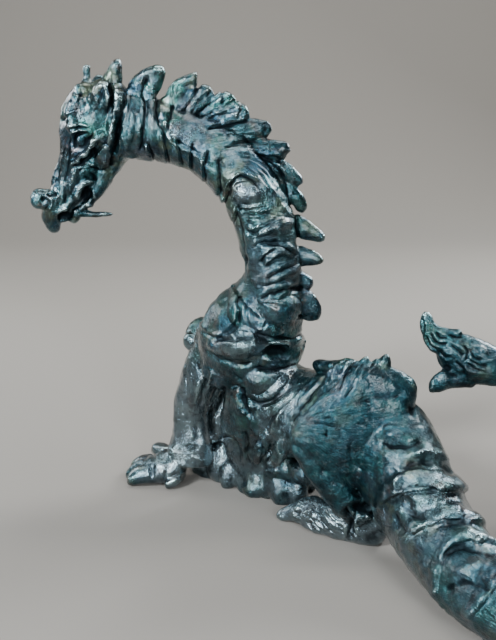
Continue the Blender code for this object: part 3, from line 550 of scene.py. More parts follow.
def lattice_noise(points, seed=0):
    """Smooth value noise between -1 and 1, one cell to a unit."""
    cell = np.floor(points).astype(np.int64)
    part_way = points - cell
    ease = part_way * part_way * (3 - 2 * part_way)

    def corner(dx, dy, dz):
        mixed = ((cell[:, 0] + dx) * 374761393 + (cell[:, 1] + dy) * 668265263
                 + (cell[:, 2] + dz) * 1274126177 + seed * 974711) & 0x7FFFFFFF
        mixed = ((mixed ^ (mixed >> 13)) * 1103515245) & 0x7FFFFFFF
        return ((mixed ^ (mixed >> 16)) & 0xFFFF) / 32767.5 - 1

    x, y, z = ease.T
    near_low = corner(0, 0, 0) * (1 - x) + corner(1, 0, 0) * x
    far_low = corner(0, 1, 0) * (1 - x) + corner(1, 1, 0) * x
    near_high = corner(0, 0, 1) * (1 - x) + corner(1, 0, 1) * x
    far_high = corner(0, 1, 1) * (1 - x) + corner(1, 1, 1) * x
    return (near_low * (1 - y) + far_low * y) * (1 - z) + (near_high * (1 - y) + far_high * y) * z


def plane_noise(u, v, seed=0):
    return lattice_noise(np.stack([u, v, np.full(len(u), 0.5)], 1), seed)


def bend(path, step=1.5):
    """A smooth run through the points of a stroke."""
    rows = np.array([(x, y, 0) for x, y in path], float)
    length = np.linalg.norm(np.diff(rows, axis=0), axis=1).sum()
    return smooth(rows, max(4, int(length / step)))[:, :2]


class Carving:
    """Relief worked into the skin in strokes that are drawn as the camera sees the near side, in pixels.

    The neck and the head are carved alike on both sides, so their far halves are read through their
    mirror twins.
    """

    def __init__(self, points, normals):
        twin, outward = points.copy(), normals.copy()
        on_head_part = ((points - OCCIPUT) @ HEAD_FORWARD > -4) & (points[:, 0] < -50) & (points[:, 2] > 120)
        across = (points - OCCIPUT) @ HEAD_NEAR
        far = on_head_part & (across < 0)
        twin[far] -= 2 * across[far, None] * HEAD_NEAR
        outward[far] -= 2 * (normals[far] @ HEAD_NEAR)[:, None] * HEAD_NEAR
        far = ~on_head_part & (points[:, 2] > 98) & (points[:, 0] < 60) & (points[:, 1] > NECK_MIDDLE)
        twin[far, 1] = 2 * NECK_MIDDLE - twin[far, 1]
        outward[far, 1] *= -1
        self.points = twin
        self.seen = picture(twin)
        toward = unit(np.array(CAMERA) - twin)
        self.facing = (outward * toward).sum(1)
        self.depth = np.zeros(len(points))
        self.area = np.arange(len(points))
        self.share = np.ones(len(points))
        self.force = 1.0

    def work_on(self, low, high, wrap=False, force=1.0):
        """Limits the next strokes to a box, in units; strokes that wrap go on round the outline."""
        self.force = force
        inside = ((self.points > low) & (self.points < high)).all(1)
        if not wrap:
            inside &= self.facing > -0.25
        self.area = np.nonzero(inside)[0]
        facing = self.facing[self.area]
        self.share = np.ones(len(facing)) if wrap else np.clip((facing + 0.2) / 0.4, 0, 1)

    def measure(self, path, reach, ends):
        """Points near a stroke, with how far right of it each lies and how full the stroke is there."""
        line = bend(path)
        seen = self.seen[self.area]
        inside = np.nonzero(((seen > line.min(0) - reach) & (seen < line.max(0) + reach)).all(1))[0]
        if not len(inside):
            return inside, np.zeros(0), np.zeros(0)
        spot = seen[inside]
        best = np.full(len(spot), 1e9)
        right = np.zeros(len(spot))
        along = np.zeros(len(spot))
        for i, (start, stop) in enumerate(zip(line[:-1], line[1:])):
            step = stop - start
            share = np.clip(((spot - start) @ step) / (step @ step), 0, 1)
            offset = spot - start - share[:, None] * step
            gap = np.hypot(*offset.T)
            nearer = gap < best
            best[nearer] = gap[nearer]
            turn = step[1] * offset[nearer, 0] - step[0] * offset[nearer, 1]
            right[nearer] = gap[nearer] * np.sign(turn)
            along[nearer] = (i + share[nearer]) / (len(line) - 1)
        close = best < reach
        inside, right, along = inside[close], right[close], along[close]
        fullness = np.clip(along / max(ends[0], 1e-6), 0, 1) * np.clip((1 - along) / max(ends[1], 1e-6), 0, 1)
        return inside, right, np.sqrt(fullness) * self.share[inside]

    def add(self, inside, amount):
        np.add.at(self.depth, self.area[inside], self.force * amount)

    def unsteady(self, inside, right, wide):
        """A hand-drawn line: it wanders a little and bites more or less."""
        spot = self.seen[self.area[inside]]
        wander = 0.55 * plane_noise(spot[:, 0] / 5, spot[:, 1] / 5, 61) * min(wide, 2.5)
        bite = 0.85 + 0.4 * plane_noise(spot[:, 0] / 7, spot[:, 1] / 7, 62)
        return right + wander, bite

    def cut(self, wide, deep, *path, ends=(0.15, 0.15)):
        inside, right, full = self.measure(path, 4 * wide, ends)
        right, bite = self.unsteady(inside, right, wide)
        groove = np.exp(-(right / (0.85 * wide)) ** 2) - 0.25 * np.exp(-((abs(right) / wide - 2) / 0.8) ** 2)
        self.add(inside, -deep * full * bite * groove)

    def rim(self, wide, high, *path, ends=(0.2, 0.2)):
        inside, right, full = self.measure(path, 3.4 * wide, ends)
        right, bite = self.unsteady(inside, right, wide)
        self.add(inside, high * full * bite * np.exp(-(right / wide) ** 2))

    def lap(self, side, high, deep, reach, *path, ends=(0.1, 0.1)):
        """A plate's edge: raised on one side of the path (-1 left, 1 right going down), sunk on the other."""
        inside, right, full = self.measure(path, 3 * reach, ends)
        right, bite = self.unsteady(inside, right, 1.6)
        full = full * bite
        over = right * side
        step = 0.5 * (1 + np.tanh(over / 0.8))
        above = step * high * np.exp(-np.maximum(over, 0) / reach)
        below = (1 - step) * deep * np.exp(-(np.maximum(-over, 0) / (0.4 * reach + 1)) ** 2)
        self.add(inside, full * (above - below))

    def swell(self, x, y, wide, tall, high, turn=0.0, flat=2.0):
        """A rounded lump, or a hollow where high is negative, turned clockwise in degrees."""
        u, v = turned(*(self.seen[self.area] - (x, y)).T, turn)
        u, v = u / wide, v / tall
        round_off = (u * u + v * v) ** (flat / 2)
        inside = np.nonzero(round_off < 5)[0]
        self.add(inside, high * self.share[inside] * np.exp(-0.9 * round_off[inside]))

    def fan(self, x, y, spacing, length, high, seed):
        """Tool marks that spread from one point, on the whole of the part being worked on."""
        seen = self.seen[self.area] - (x, y)
        radius = np.hypot(*seen.T)
        turn = np.arctan2(seen[:, 1], seen[:, 0])
        marks = (plane_noise(turn * 60 / spacing, radius / length, seed)
                 + 0.5 * plane_noise(turn * 110 / spacing, radius / length, seed + 1))
        self.add(np.arange(len(seen)), high * self.share * marks)

    def hatch(self, angle, spacing, length, high, seed):
        """Parallel tool marks on the part being worked on, turned clockwise in degrees."""
        along, across = turned(*self.seen[self.area].T, angle)
        marks = plane_noise(across / spacing, along / length, seed)
        self.add(np.arange(len(along)), high * self.share * marks)


def carve_neck(work):
    work.work_on((-66, 20, 96), (60, 60, 215), wrap=True, force=0.85)
    lap, cut, rim, swell = work.lap, work.cut, work.rim, work.swell
    # Long blades of the upper neck, each one's hinder edge over the next
    lap(-1, 1.0, 1.5, 7, (107, 80), (110, 88), (110.5, 97), (108.5, 105), (106, 114))
    cut(1.4, 0.7, (112.5, 104), (113, 114), (111.5, 124), (110.5, 134))
    lap(-1, 1.3, 1.6, 7, (124, 84), (124, 93), (123, 103), (121.5, 112), (119, 121), (116, 131),
        (113.5, 143), (111.8, 152), (111.3, 163))
    cut(1.3, 0.9, (129.6, 94), (129.6, 104), (129, 113), (127.5, 123))
    cut(1.0, 0.6, (122.8, 95), (122.2, 103), (120.6, 111))
    lap(-1, 1.2, 1.5, 7, (142, 92), (142, 98), (143.8, 105), (144, 112), (143, 120), (142, 128),
        (141, 136), (140.5, 143), (138, 151))
    cut(1.5, 1.1, (146.5, 78), (144, 85), (142, 93))
    swell(146.5, 80.5, 3, 4.5, -1.4)
    rim(1.6, 0.8, (140, 80), (137.5, 86), (135.5, 92))
    lap(-1, 1.1, 1.4, 6, (154.5, 94), (154.6, 102), (155, 109), (156, 117), (158.5, 126), (162, 133),
        (163, 141))
    swell(156, 114.5, 2.2, 5.5, -0.9)
    lap(-1, 0.9, 1.2, 6, (171, 104), (170.5, 111), (169.5, 118), (167.8, 125), (166.5, 132))
    cut(1.2, 0.5, (136, 112), (136.5, 124), (134, 138), (131, 150))
    cut(1.2, 0.5, (150, 116), (151, 128), (150, 142), (148, 152))
    cut(1.2, 0.5, (118, 134), (122, 142), (121, 152), (118, 162))
    # Each blade is full between its edges
    for wide, high, path in ((3.6, 1.0, ((117, 74), (117.4, 92), (116, 110), (112.5, 130), (108.6, 150))),
                             (5.2, 1.3, ((134, 98), (133.6, 114), (130, 134), (123, 157))),
                             (4.6, 1.2, ((148.6, 92), (149.8, 110), (151, 130), (149.6, 150))),
                             (4.6, 1.1, ((163, 96), (162.4, 112), (166, 128))),
                             (5.0, 1.1, ((180, 113), (177.6, 127), (174, 140))),
                             (3.2, 0.8, ((126, 88), (126, 102), (124.6, 114))),
                             (4.6, 1.2, ((131, 88), (142, 76), (156, 69.6), (166, 70))),
                             (3.0, 0.8, ((160, 92), (172, 82), (186, 76)))):
        rim(wide, high, *path, ends=(0.1, 0.1))
    # Lance plate with its hollow and polished rim
    lap(-1, 1.4, 1.5, 5, (198.5, 80), (195, 90), (191, 98), (186.5, 105), (181, 109.5), (175, 109))
    swell(183, 97, 9, 3.6, -1.2, -48)
    swell(186, 85.5, 6, 1.7, -0.8, -18)
    # Feathered plates of the middle neck
    for path in (((190, 114), (204, 99), (212, 90)), ((195, 116), (212, 102), (223, 94)),
                 ((200, 117), (220, 108), (235, 100)), ((206, 119), (228, 113), (246, 109)),
                 ((193, 108), (202, 98), (207, 92)), ((214, 107), (226, 100), (232, 97))):
        cut(1.2, 0.6, *path)
    swell(209, 96, 2.6, 4.4, -0.9)
    swell(212, 115, 3, 3.2, -1.1)
    lap(1, 0.9, 1.3, 6, (206, 128.5), (213, 126.5), (220, 125), (228, 124), (238, 121.5), (250, 119.5))
    lap(-1, 0.9, 1.1, 5, (238.3, 96), (240, 104), (239, 112), (237, 119))
    lap(-1, 0.6, 0.8, 5, (221, 91), (222, 98), (220, 106))
    lap(1, 0.8, 1.0, 5, (224, 147), (238, 142.5), (250, 140.5), (260, 141.8), (269, 143.8))
    swell(265.8, 131, 3.2, 4.2, -1.6)
    for path in (((204, 134), (222, 131), (242, 130), (260, 128)),
                 ((203, 139), (222, 136.5), (240, 134.5), (256, 135)),
                 ((204, 144), (218, 142), (232, 139)), ((226, 147.5), (242, 146), (256, 148), (268, 149))):
        cut(1.0, 0.45, *path)
    rim(2.0, 1.0, (259, 152), (266, 154.6), (274, 153), (282, 156.4))
    cut(1.8, 1.1, (262, 158.5), (272, 160.5), (283, 162))
    swell(287, 155, 2.6, 3.6, -1.1)
    # Arcs over the swelling scale
    cut(1.8, 1.2, (248, 148), (257, 153.5), (267, 159.5), (275, 165.5), (281, 173), (285, 181),
        (287.5, 189), (288, 198))
    for path in (((243, 153), (254, 156), (264, 161.5), (273, 169), (279, 178)),
                 ((238, 157), (250, 158.8), (261, 164.5), (270, 172), (276, 182)),
                 ((234, 162), (247, 162.8), (258, 168), (267, 176), (273, 185)),
                 ((228, 166), (238, 165), (250, 168.5), (260, 175), (268, 183))):
        cut(1.1, 0.45, *path)
    rim(1.4, 0.9, (246, 173.5), (253, 175.5), (259, 180), (264, 186), (269.5, 191))
    rim(1.2, 0.6, (262, 177), (269, 184), (275, 193))
    cut(1.8, 1.5, (231.5, 198), (230.3, 188), (233, 181), (238, 177.2), (244, 176.8), (250, 179),
        (255.5, 183.5), (260, 190))
    rim(1.7, 0.8, (227.8, 192), (230, 182), (236, 174.5), (244, 172.6))
    cut(1.2, 0.6, (235.5, 202), (233.8, 193), (236.5, 186), (242, 182.6), (249, 183.5))
    swell(248, 193.5, 13, 8.6, 2.6, 0, 3)
    cut(1.5, 1.0, (236, 207), (245, 210), (256, 209), (268, 207))
    rim(1.3, 0.8, (239, 206), (247, 207.4), (255, 205.6))
    swell(234, 202.5, 2.6, 4.5, -0.9)
    cut(1.7, 0.9, (289, 201), (293.5, 209), (296.2, 219), (297, 230), (298, 240), (300, 250))
    rim(2.0, 1.1, (280, 204.5), (285, 210), (291, 216.5))
    # Folds of the lower neck
    rim(2.6, 0.9, (241, 208), (249, 209.6), (258, 208.4), (266, 206))
    cut(3.0, 0.9, (243, 213), (254, 215), (266, 214), (276, 212))
    rim(3.6, 0.8, (245, 220), (258, 220.5), (272, 218.6), (284, 216))
    cut(2.2, 1.0, (246, 231), (254, 232.4), (261, 229.6), (267, 225), (277, 221.5))
    rim(2.6, 1.5, (246, 224.6), (251.5, 228), (257.4, 226.6), (263, 222.6))
    swell(275, 231, 13, 5.5, 1.2, -5, 3)
    cut(2.2, 1.5, (255, 245.6), (263, 243), (272, 242.8), (280, 244.3), (288, 249.5), (296, 256))
    rim(2.2, 1.0, (253.5, 239.6), (258.6, 245), (264, 248))
    cut(1.8, 1.6, (261, 263), (266, 257), (271.6, 252.8), (277, 250.4))
    rim(2.6, 1.3, (264, 265), (269.6, 259), (276, 255.2), (284, 253))
    cut(2.8, 1.6, (266, 280), (275, 274), (285, 269.6), (294, 266), (303, 261.6))
    rim(1.8, 0.6, (260, 287), (264, 284), (270, 283))
    cut(3.4, 1.9, (256, 301), (264, 297), (273, 293.6), (283, 291.4), (294, 289), (304, 287.4))
    cut(2.2, 1.3, (238, 212), (240.5, 223), (242, 236), (243.4, 248), (245, 260), (246.5, 273))
    swell(246, 261, 2.6, 4.6, -1.1)
    rim(2.0, 0.8, (252, 278), (257, 282.5), (259, 288.5))
    # Belly plates
    for path in (((162.3, 133), (163.5, 143), (165.5, 151), (168.5, 163)),
                 ((177, 138), (177.5, 146), (179, 155), (182, 167)),
                 ((192, 142), (190.7, 150), (190, 158), (191, 170)),
                 ((207.5, 150), (205.5, 160), (203.3, 169), (205, 183)),
                 ((218, 158), (217.6, 168), (218.2, 177), (219.3, 187), (218, 198)),
                 ((227.5, 184), (226.8, 193), (223.6, 201), (222, 210)),
                 ((238, 203), (236, 211), (233, 222)), ((146, 143), (150, 150), (154, 164)),
                 ((128, 160), (136, 163), (140, 169))):
        lap(-1, 1.1, 1.5, 5, *path)
    rim(1.4, 0.8, (165, 133), (169, 140), (176, 144.5), (183, 149.8), (190, 151), (197, 155), (202, 160),
        (206, 167), (212, 171), (217, 179))
    cut(1.3, 0.6, (164, 129), (171, 137), (178, 141.5), (186, 146), (194, 150), (201, 156))
    swell(171.5, 137.5, 4.6, 4.2, 0.9)
    swell(132.5, 156.3, 3.6, 1.9, 1.2)
    work.work_on((-30, 20, 140), (30, 42, 195), wrap=True)
    work.fan(150, 137, 4.2, 14, 0.20, 21)
    work.work_on((-62, 20, 150), (-30, 42, 200), wrap=True)
    work.fan(172, 300, 3.0, 16, 0.16, 23)


def carve_collar(work):
    work.work_on((-40, 10, 56), (45, 66, 104), force=0.85)
    lap, cut, rim, swell = work.lap, work.cut, work.rim, work.swell
    swell(284, 311, 22, 11, 1.7, 22, 3)
    for i in range(SHOULDER_LINES):
        cut(1.3, 0.5, (264 + 3 * i, 301 + 0.5 * i), (278 + 4 * i, 309 + i), (290 + 4 * i, 320 - 0.5 * i))
    cut(2.6, 2.0, (256, 333), (266, 337), (280, 337.5), (294, 338), (305, 333))
    lap(-1, 0.9, 1.2, 6, (243, 288), (236, 300), (238, 311), (235, 322), (226, 331), (216, 338))
    swell(238.5, 318.5, 1.7, 5, -1.6)
    swell(226, 316, 9, 10, 0.9)
    swell(252, 317, 9, 11, 0.9)
    cut(1.6, 0.8, (248, 303), (246, 314), (250, 325), (258, 333))
    cut(1.4, 0.7, (264, 314), (266, 322), (262, 331))
    rim(1.3, 0.8, (256, 328), (259, 329.5), (270, 328))
    cut(1.8, 0.9, (196, 321), (204, 332), (215, 337), (228, 339))
    rim(2.2, 1.5, (230.5, 339), (238, 332.3), (246, 330), (251.5, 334), (254.5, 342))
    swell(243, 337, 7, 2.6, -0.9)
    swell(241, 347, 17, 7, 1.7, -6, 3)
    cut(2.2, 1.0, (207, 350), (216, 356), (228, 361), (240, 364), (256, 363))
    cut(1.8, 1.2, (214, 341.5), (226, 339.5), (238, 340.5))
    rim(1.9, 0.9, (230, 353), (240, 357.5), (251, 356))
    swell(275, 351, 12, 5, -2.9, 0, 2.4)
    rim(2.6, 1.5, (260, 355), (265, 346), (275, 341.6), (286, 342), (293, 347))
    rim(1.9, 1.2, (262, 358.5), (277, 361.5), (292, 358.5))
    cut(2.0, 1.2, (258, 366), (272, 368.5), (288, 367), (300, 362))
    swell(297, 348, 5, 10, 0.9)
    swell(189.5, 341, 4.2, 5.2, -1.5)
    swell(197, 326, 7, 7, 0.9)
    for path in (((213, 335), (222, 333)), ((207, 345), (214, 342))):
        rim(2.0, 0.9, *path)


def carve_head(work):
    work.work_on((-125, 20, 100), (-50, 60, 215), wrap=True, force=0.8)
    cut, rim, swell = work.cut, work.rim, work.swell
    # Forehead and brow
    cut(1.5, 0.9, (61.5, 121), (66, 117.6), (71, 115), (77, 113.4))
    rim(2.4, 0.8, (65, 127), (73, 126), (80, 125), (89, 127))
    rim(1.4, 0.9, (71, 99), (75, 92), (79, 84))
    cut(1.6, 0.8, (78, 104), (80.6, 96), (82, 88))
    for x, y, wide, tall, deep in ((84, 103, 2.4, 5, 0.8), (89, 113, 2, 3, 0.7), (84, 116, 3, 2, 0.6),
                                   (71, 107, 3, 5, 0.5)):
        swell(x, y, wide, tall, -deep)
    rim(1.4, 0.9, (88.5, 95), (90, 102), (94, 110))
    # Eye
    cut(1.5, 1.3, (69.6, 129.6), (75, 128), (81, 127.4), (88.6, 128.8))
    rim(1.3, 1.0, (70, 132.4), (76, 130.6), (83, 130.2), (89.6, 132))
    swell(80, 141, 7.6, 8.6, -2.2, 20, 3)
    swell(80, 141, 4.2, 4.6, 1.9, 20, 3)
    cut(1.6, 1.3, (88, 134), (82, 133), (76, 136), (73.6, 142), (74.6, 150))
    # Crease down the bridge, and the muzzle
    cut(1.7, 1.2, (70, 136), (68.6, 148), (68.6, 160), (66.6, 172), (62, 182))
    rim(1.5, 1.0, (63.6, 150), (63.4, 160), (62, 169))
    rim(2.4, 1.1, (75, 168), (72.6, 176), (71, 184), (70.4, 194))
    cut(2.0, 0.8, (79, 168), (79, 178), (77.6, 187))
    cut(1.8, 0.8, (66.4, 186), (65.6, 195), (65, 205))
    swell(76.6, 196.4, 2.8, 3.6, 0.9)
    # Cheekbone and the deep fold behind it
    rim(2.4, 0.5, (101, 133.6), (95, 140), (88, 150), (80, 157))
    cut(1.9, 1.4, (95, 132), (89.6, 139), (85, 148), (77, 155), (71, 161.6))
    cut(3.3, 2.9, (101, 141), (97, 147), (93.4, 153), (88.6, 158.6), (80, 163.4))
    swell(96.6, 147.4, 1.6, 1.8, 1.3)
    cut(1.8, 1.2, (72, 166), (80, 164.6), (88, 166), (97, 168.4), (106, 171))
    for path in (((79, 171), (84, 168.6), (91, 169.6)), ((84, 176), (90, 178.6), (98, 180)),
                 ((90, 171), (94, 176), (96, 182))):
        cut(1.4, 0.8, *path)
    swell(103, 152, 5, 9, 0.7)
    for path in (((104, 143), (107, 149)), ((101, 158), (105, 163)), ((97, 164), (102, 168))):
        rim(1.3, 0.6, *path)
    # Ear, and the black gaps behind the head
    swell(102, 96, 2.4, 7.6, -1.5, 10, 3)
    rim(1.5, 0.7, (92.6, 97), (95.6, 89), (101, 85.6), (105.6, 88))
    rim(1.4, 0.9, (107.4, 94), (106.6, 101), (105, 108))
    cut(0.9, 0.4, (98, 94), (99, 100), (101.4, 106))
    cut(2.4, 2.6, (108, 83), (110, 91), (110.4, 99), (108.6, 107))
    cut(2.9, 2.9, (119, 112), (118, 122), (116.6, 134), (114.4, 146), (112, 157), (110.6, 167))
    rim(1.6, 0.9, (111.6, 124), (112, 132), (110.6, 142))
    # Nose
    cut(2.0, 1.8, (47, 193.6), (51, 194.6), (56.6, 195))
    cut(1.7, 1.1, (49, 200), (48, 205), (44.6, 210.6))
    swell(43.4, 199, 2.6, 3.6, -1.7)
    cut(1.2, 0.7, (55, 198), (53.6, 206))
    cut(1.2, 0.7, (59.6, 197), (58.6, 206))
    rim(1.8, 1.3, (54.6, 214.6), (58, 212.4), (62.6, 209.4), (69, 208.4))
    # Mouth
    swell(65, 216.6, 8, 5, -2.4, 0, 3)
    swell(86.6, 194.4, 4.6, 7, -1.6, 15, 3)
    rim(1.7, 1.0, (92.4, 187), (93.6, 194), (94.6, 200))
    rim(1.6, 1.3, (85, 206), (90, 205.2), (95.6, 204))
    rim(1.4, 0.7, (72, 222), (77, 219.6), (79, 214.6))


def carve_front(work):
    """The legs that are set under the chest, and what is folded between them and the haunch."""
    work.work_on((-75, 22, -2), (50, 84, 92), force=0.75)
    cut, rim, swell = work.cut, work.rim, work.swell
    swell(200, 384, 6, 17, 3.0, 18, 2)
    swell(193.5, 402, 3.4, 9, 1.0, 4)
    cut(2.4, 0.8, (196, 424), (197.6, 438), (195.6, 452))
    swell(190, 440, 5, 12, 0.9)
    swell(203, 447, 4, 10, 0.8)
    rim(1.7, 1.0, (212.6, 369), (211, 379), (207, 389))
    cut(2.2, 1.6, (209, 369), (207, 381), (202, 393), (200, 406))
    cut(2.0, 1.7, (217, 387), (213.5, 395), (210.5, 403))
    rim(1.5, 0.9, (214.6, 400), (211, 409))
    cut(2.4, 1.5, (223, 384), (221.5, 395), (219, 406), (215, 416))
    cut(2.2, 0.5, (188, 372), (187, 390), (188, 408), (186, 424))
    swell(197, 443, 3, 3.2, 0.8)
    rim(2.0, 0.7, (191, 455), (200, 460), (208, 458))
    swell(145, 465, 8, 8, 1.3)
    swell(165, 450, 8, 5, 1.2, -20)
    swell(160, 468, 7, 10, 0.9)
    cut(2.0, 1.3, (153, 453), (154, 465), (150, 480))
    cut(2.0, 1.2, (172, 454), (168.5, 467), (163, 481))
    rim(2.2, 1.3, (165, 485), (171.5, 482.5), (176.5, 477.5))
    # Sheet under the chest and the petals along its edge
    cut(2.2, 1.4, (226, 386), (223.6, 397), (222.4, 410))
    cut(2.0, 0.9, (233, 391), (229, 399), (228, 408))
    cut(3.2, 2.8, (240.6, 387), (243, 397), (246, 406), (249.5, 415))
    rim(2.4, 1.7, (243.5, 410), (248, 414.6), (252.5, 421), (251, 427))
    swell(230, 424, 8, 13, 1.2)
    cut(2.4, 1.4, (218, 441), (226, 437), (235, 441), (240, 452), (239, 464))
    rim(2.2, 1.0, (221, 449), (226, 446), (231, 448))
    cut(2.2, 1.3, (243, 430), (248, 441), (247, 453), (251, 466))
    cut(2.0, 1.0, (255, 436), (262, 446), (262, 458), (266, 470))
    cut(2.0, 0.9, (244, 447), (254, 452), (264, 449), (274, 455))
    cut(2.0, 1.0, (272, 442), (276, 456), (274, 470))
    rim(2.0, 0.9, (250, 425), (256, 432), (262, 436))
    swell(267, 382, 19, 12, 1.3, 0, 3)
    cut(2.8, 1.8, (246, 396), (256, 403), (268, 402.4), (280, 396), (291, 386))
    cut(2.6, 1.4, (252, 366), (266, 370), (278, 369.4), (290, 365))
    cut(2.0, 0.9, (232, 368), (236, 375), (246, 380))
    rim(4.6, 2.8, (305, 399), (292, 408), (283, 416), (276, 425), (270.5, 434))
    cut(2.4, 1.5, (301, 394), (288, 403), (279, 411), (271, 420), (266, 433))
    swell(277, 449, 9, 15, 1.1, 15)
    cut(2.4, 1.2, (288, 447), (285, 460), (289, 472))
    swell(295, 456, 4, 8, -1.6)


def carve_haunch(work, dice):
    work.work_on((14, -25, 14), (84, 26, 92), force=0.7)
    lap, cut, rim, swell = work.lap, work.cut, work.rim, work.swell
    lap(-1, 0.9, 1.7, 4, (327, 375), (319, 384), (311, 393), (304, 404), (297, 414), (291, 424))
    rim(1.8, 0.9, (322, 370), (312, 380), (301, 392), (289, 404), (278, 413))
    work.fan(*KNEE_SEEN, 3.0, 9, 0.13, 31)
    work.fan(*KNEE_SEEN, 5.0, 18, 0.14, 37)
    for _ in range(HAUNCH_LINES):
        angle = math.radians(dice.uniform(-58, 44))
        first = dice.uniform(6, 82)
        last = first + dice.uniform(4, 13)
        cut(0.9, dice.uniform(0.15, 0.5), away_from(LINES_SEEN, first, angle),
            away_from(LINES_SEEN, last, angle + 0.02))
    for path, deep in ((((353, 364), (346.6, 373), (341.6, 383), (338, 392)), 1.5),
                       (((345, 360), (342, 369), (339, 376)), 0.9),
                       (((364, 360), (358, 373), (351, 386)), 1.0),
                       (((333, 364), (330, 375), (327, 384)), 0.8),
                       (((376, 358), (370, 368), (361, 380)), 0.7),
                       (((357, 381), (350, 391), (343, 399)), 0.7)):
        cut(1.5, deep, *path)
    swell(326.6, 434, 2, 5.4, -1.1)
    cut(1.4, 0.8, (311, 422.6), (322, 424), (335, 427.6))
    cut(1.4, 0.6, (304, 431), (316, 433), (328, 437))
    cut(2.0, 0.8, (353, 438), (349.6, 451), (352, 466))
    swell(352, 478, 13, 10, 0.9, 20, 3)
    swell(318, 448, 19, 13, 0.8, 20, 3)
    cut(3.4, 0.8, (360, 403), (376, 398.6), (391, 398.4), (405, 392))
    swell(411.5, 410, 3, 7.6, -1.4, -20)
    cut(3.2, 0.5, (371, 384), (367, 399), (372, 414), (366, 430))
    cut(2.0, 0.9, (336, 470), (344, 481), (352, 491), (362, 498))
    swell(322, 487, 5, 14, -1.6, -36)


def carve_foot(work, dice):
    work.work_on((8, -12, -2), (74, 32, 24))
    cut, rim, swell = work.cut, work.rim, work.swell
    for i in range(FOOT_LINES):
        x = 286 + 1.05 * i + dice.uniform(-2, 2)
        y = 509 + 0.20 * (x - 284) + dice.uniform(-12, 12)
        run = dice.uniform(5, 14)
        cut(0.9, dice.uniform(0.25, 0.8), (x, y), (x + 0.78 * run, y + 0.62 * run))
    swell(334, 518, 9, 11, 1.5, 0, 3)
    cut(2.8, 2.0, (345, 507), (350, 520), (352, 538))
    cut(1.8, 1.2, (357, 512), (351, 526), (346, 541))
    rim(2.6, 2.0, (366, 516), (375, 519), (383, 527))
    swell(363, 508, 12, 6, -2.3, 10, 3)
    rim(1.8, 1.1, (294, 512), (300, 503), (309, 498), (320, 497))
    cut(2.2, 1.3, (294, 517), (302, 509), (311, 506))
    rim(1.6, 0.9, (286, 522), (298, 523), (312, 529), (328, 540))


def carve_tail(work):
    work.work_on((44, -120, -2), (110, 20, 80), force=0.8)
    cut, rim, swell = work.cut, work.rim, work.swell
    swell(392, 434.6, 8, 3.6, 1.6, 0, 3)
    cut(4.0, 1.7, (381, 443), (396, 446.6), (411, 446.4), (424, 441))
    rim(5.6, 1.4, (408, 456), (422, 452.6), (436, 454), (449, 459.6))
    cut(4.4, 2.0, (402, 470), (414, 463.6), (427, 462), (441, 465.6), (455, 473.6))
    rim(4.0, 2.3, (391, 487), (398.6, 479.6), (409, 474.8), (425, 474), (440, 477.6))
    cut(4.0, 1.8, (396, 492), (409, 487.6), (423, 487), (439, 490))
    rim(5.0, 2.4, (402, 495), (418, 499), (433, 503), (448, 507), (464, 508))
    cut(5.6, 2.1, (402, 509), (420, 516), (437, 519.6), (456, 520), (476, 515))
    cut(4.0, 1.4, (394, 512), (399, 523), (406, 533))
    swell(412, 540, 7, 8.4, 1.8, 25)
    rim(5.6, 1.6, (440, 536), (458, 531), (474, 535), (492, 544))
    cut(5.6, 1.8, (440, 556), (458, 548), (476, 550), (494, 558))
    swell(437.6, 562, 5.4, 6, -1.7)
    rim(4.4, 1.4, (424, 559), (432, 569), (441, 576))
    rim(6.0, 1.5, (452, 574), (466, 567), (480, 567), (494, 573))
    cut(5.6, 1.6, (444, 590), (462, 582), (478, 586), (494, 594))
    rim(4.6, 1.5, (430.6, 590), (437, 598), (445, 608))
    swell(466, 612, 14, 8, 1.6, 20)
    work.hatch(28, 4.0, 14, 0.16, 51)


def carve_tip(work):
    work.work_on((70, 4, 52), (130, 34, 112))
    cut, rim, swell = work.cut, work.rim, work.swell
    for path in (((431, 333), (433.6, 340), (440, 344), (447, 344)), ((426, 336), (430, 345), (437, 350)),
                 ((436, 331), (441, 337), (448, 339)), ((449, 334), (456, 337), (464, 336)),
                 ((450, 345), (457, 349), (463, 356)), ((440, 352), (446, 357), (453, 357)),
                 ((463, 345), (468, 352), (466, 362)), ((470, 350), (474, 357), (482, 361)),
                 ((466, 362), (474, 368), (484, 372)), ((468, 358), (477, 364), (488, 367)),
                 ((455, 362), (462, 367), (464, 375)), ((434, 356), (440, 364), (442, 372))):
        cut(1.6, 1.0, *path)
    rim(1.7, 1.1, (470, 348), (475, 346), (481, 349), (488, 355))
    rim(1.5, 0.9, (464, 366), (470, 371), (478, 371))
    swell(446.6, 368, 5, 3.6, -1.4, 25)
    swell(453, 375, 5, 3, -1.2, 25)
    swell(451.6, 342, 3, 2, 0.8, 30)
    cut(1.4, 0.6, (422, 318), (424, 327), (423, 336))


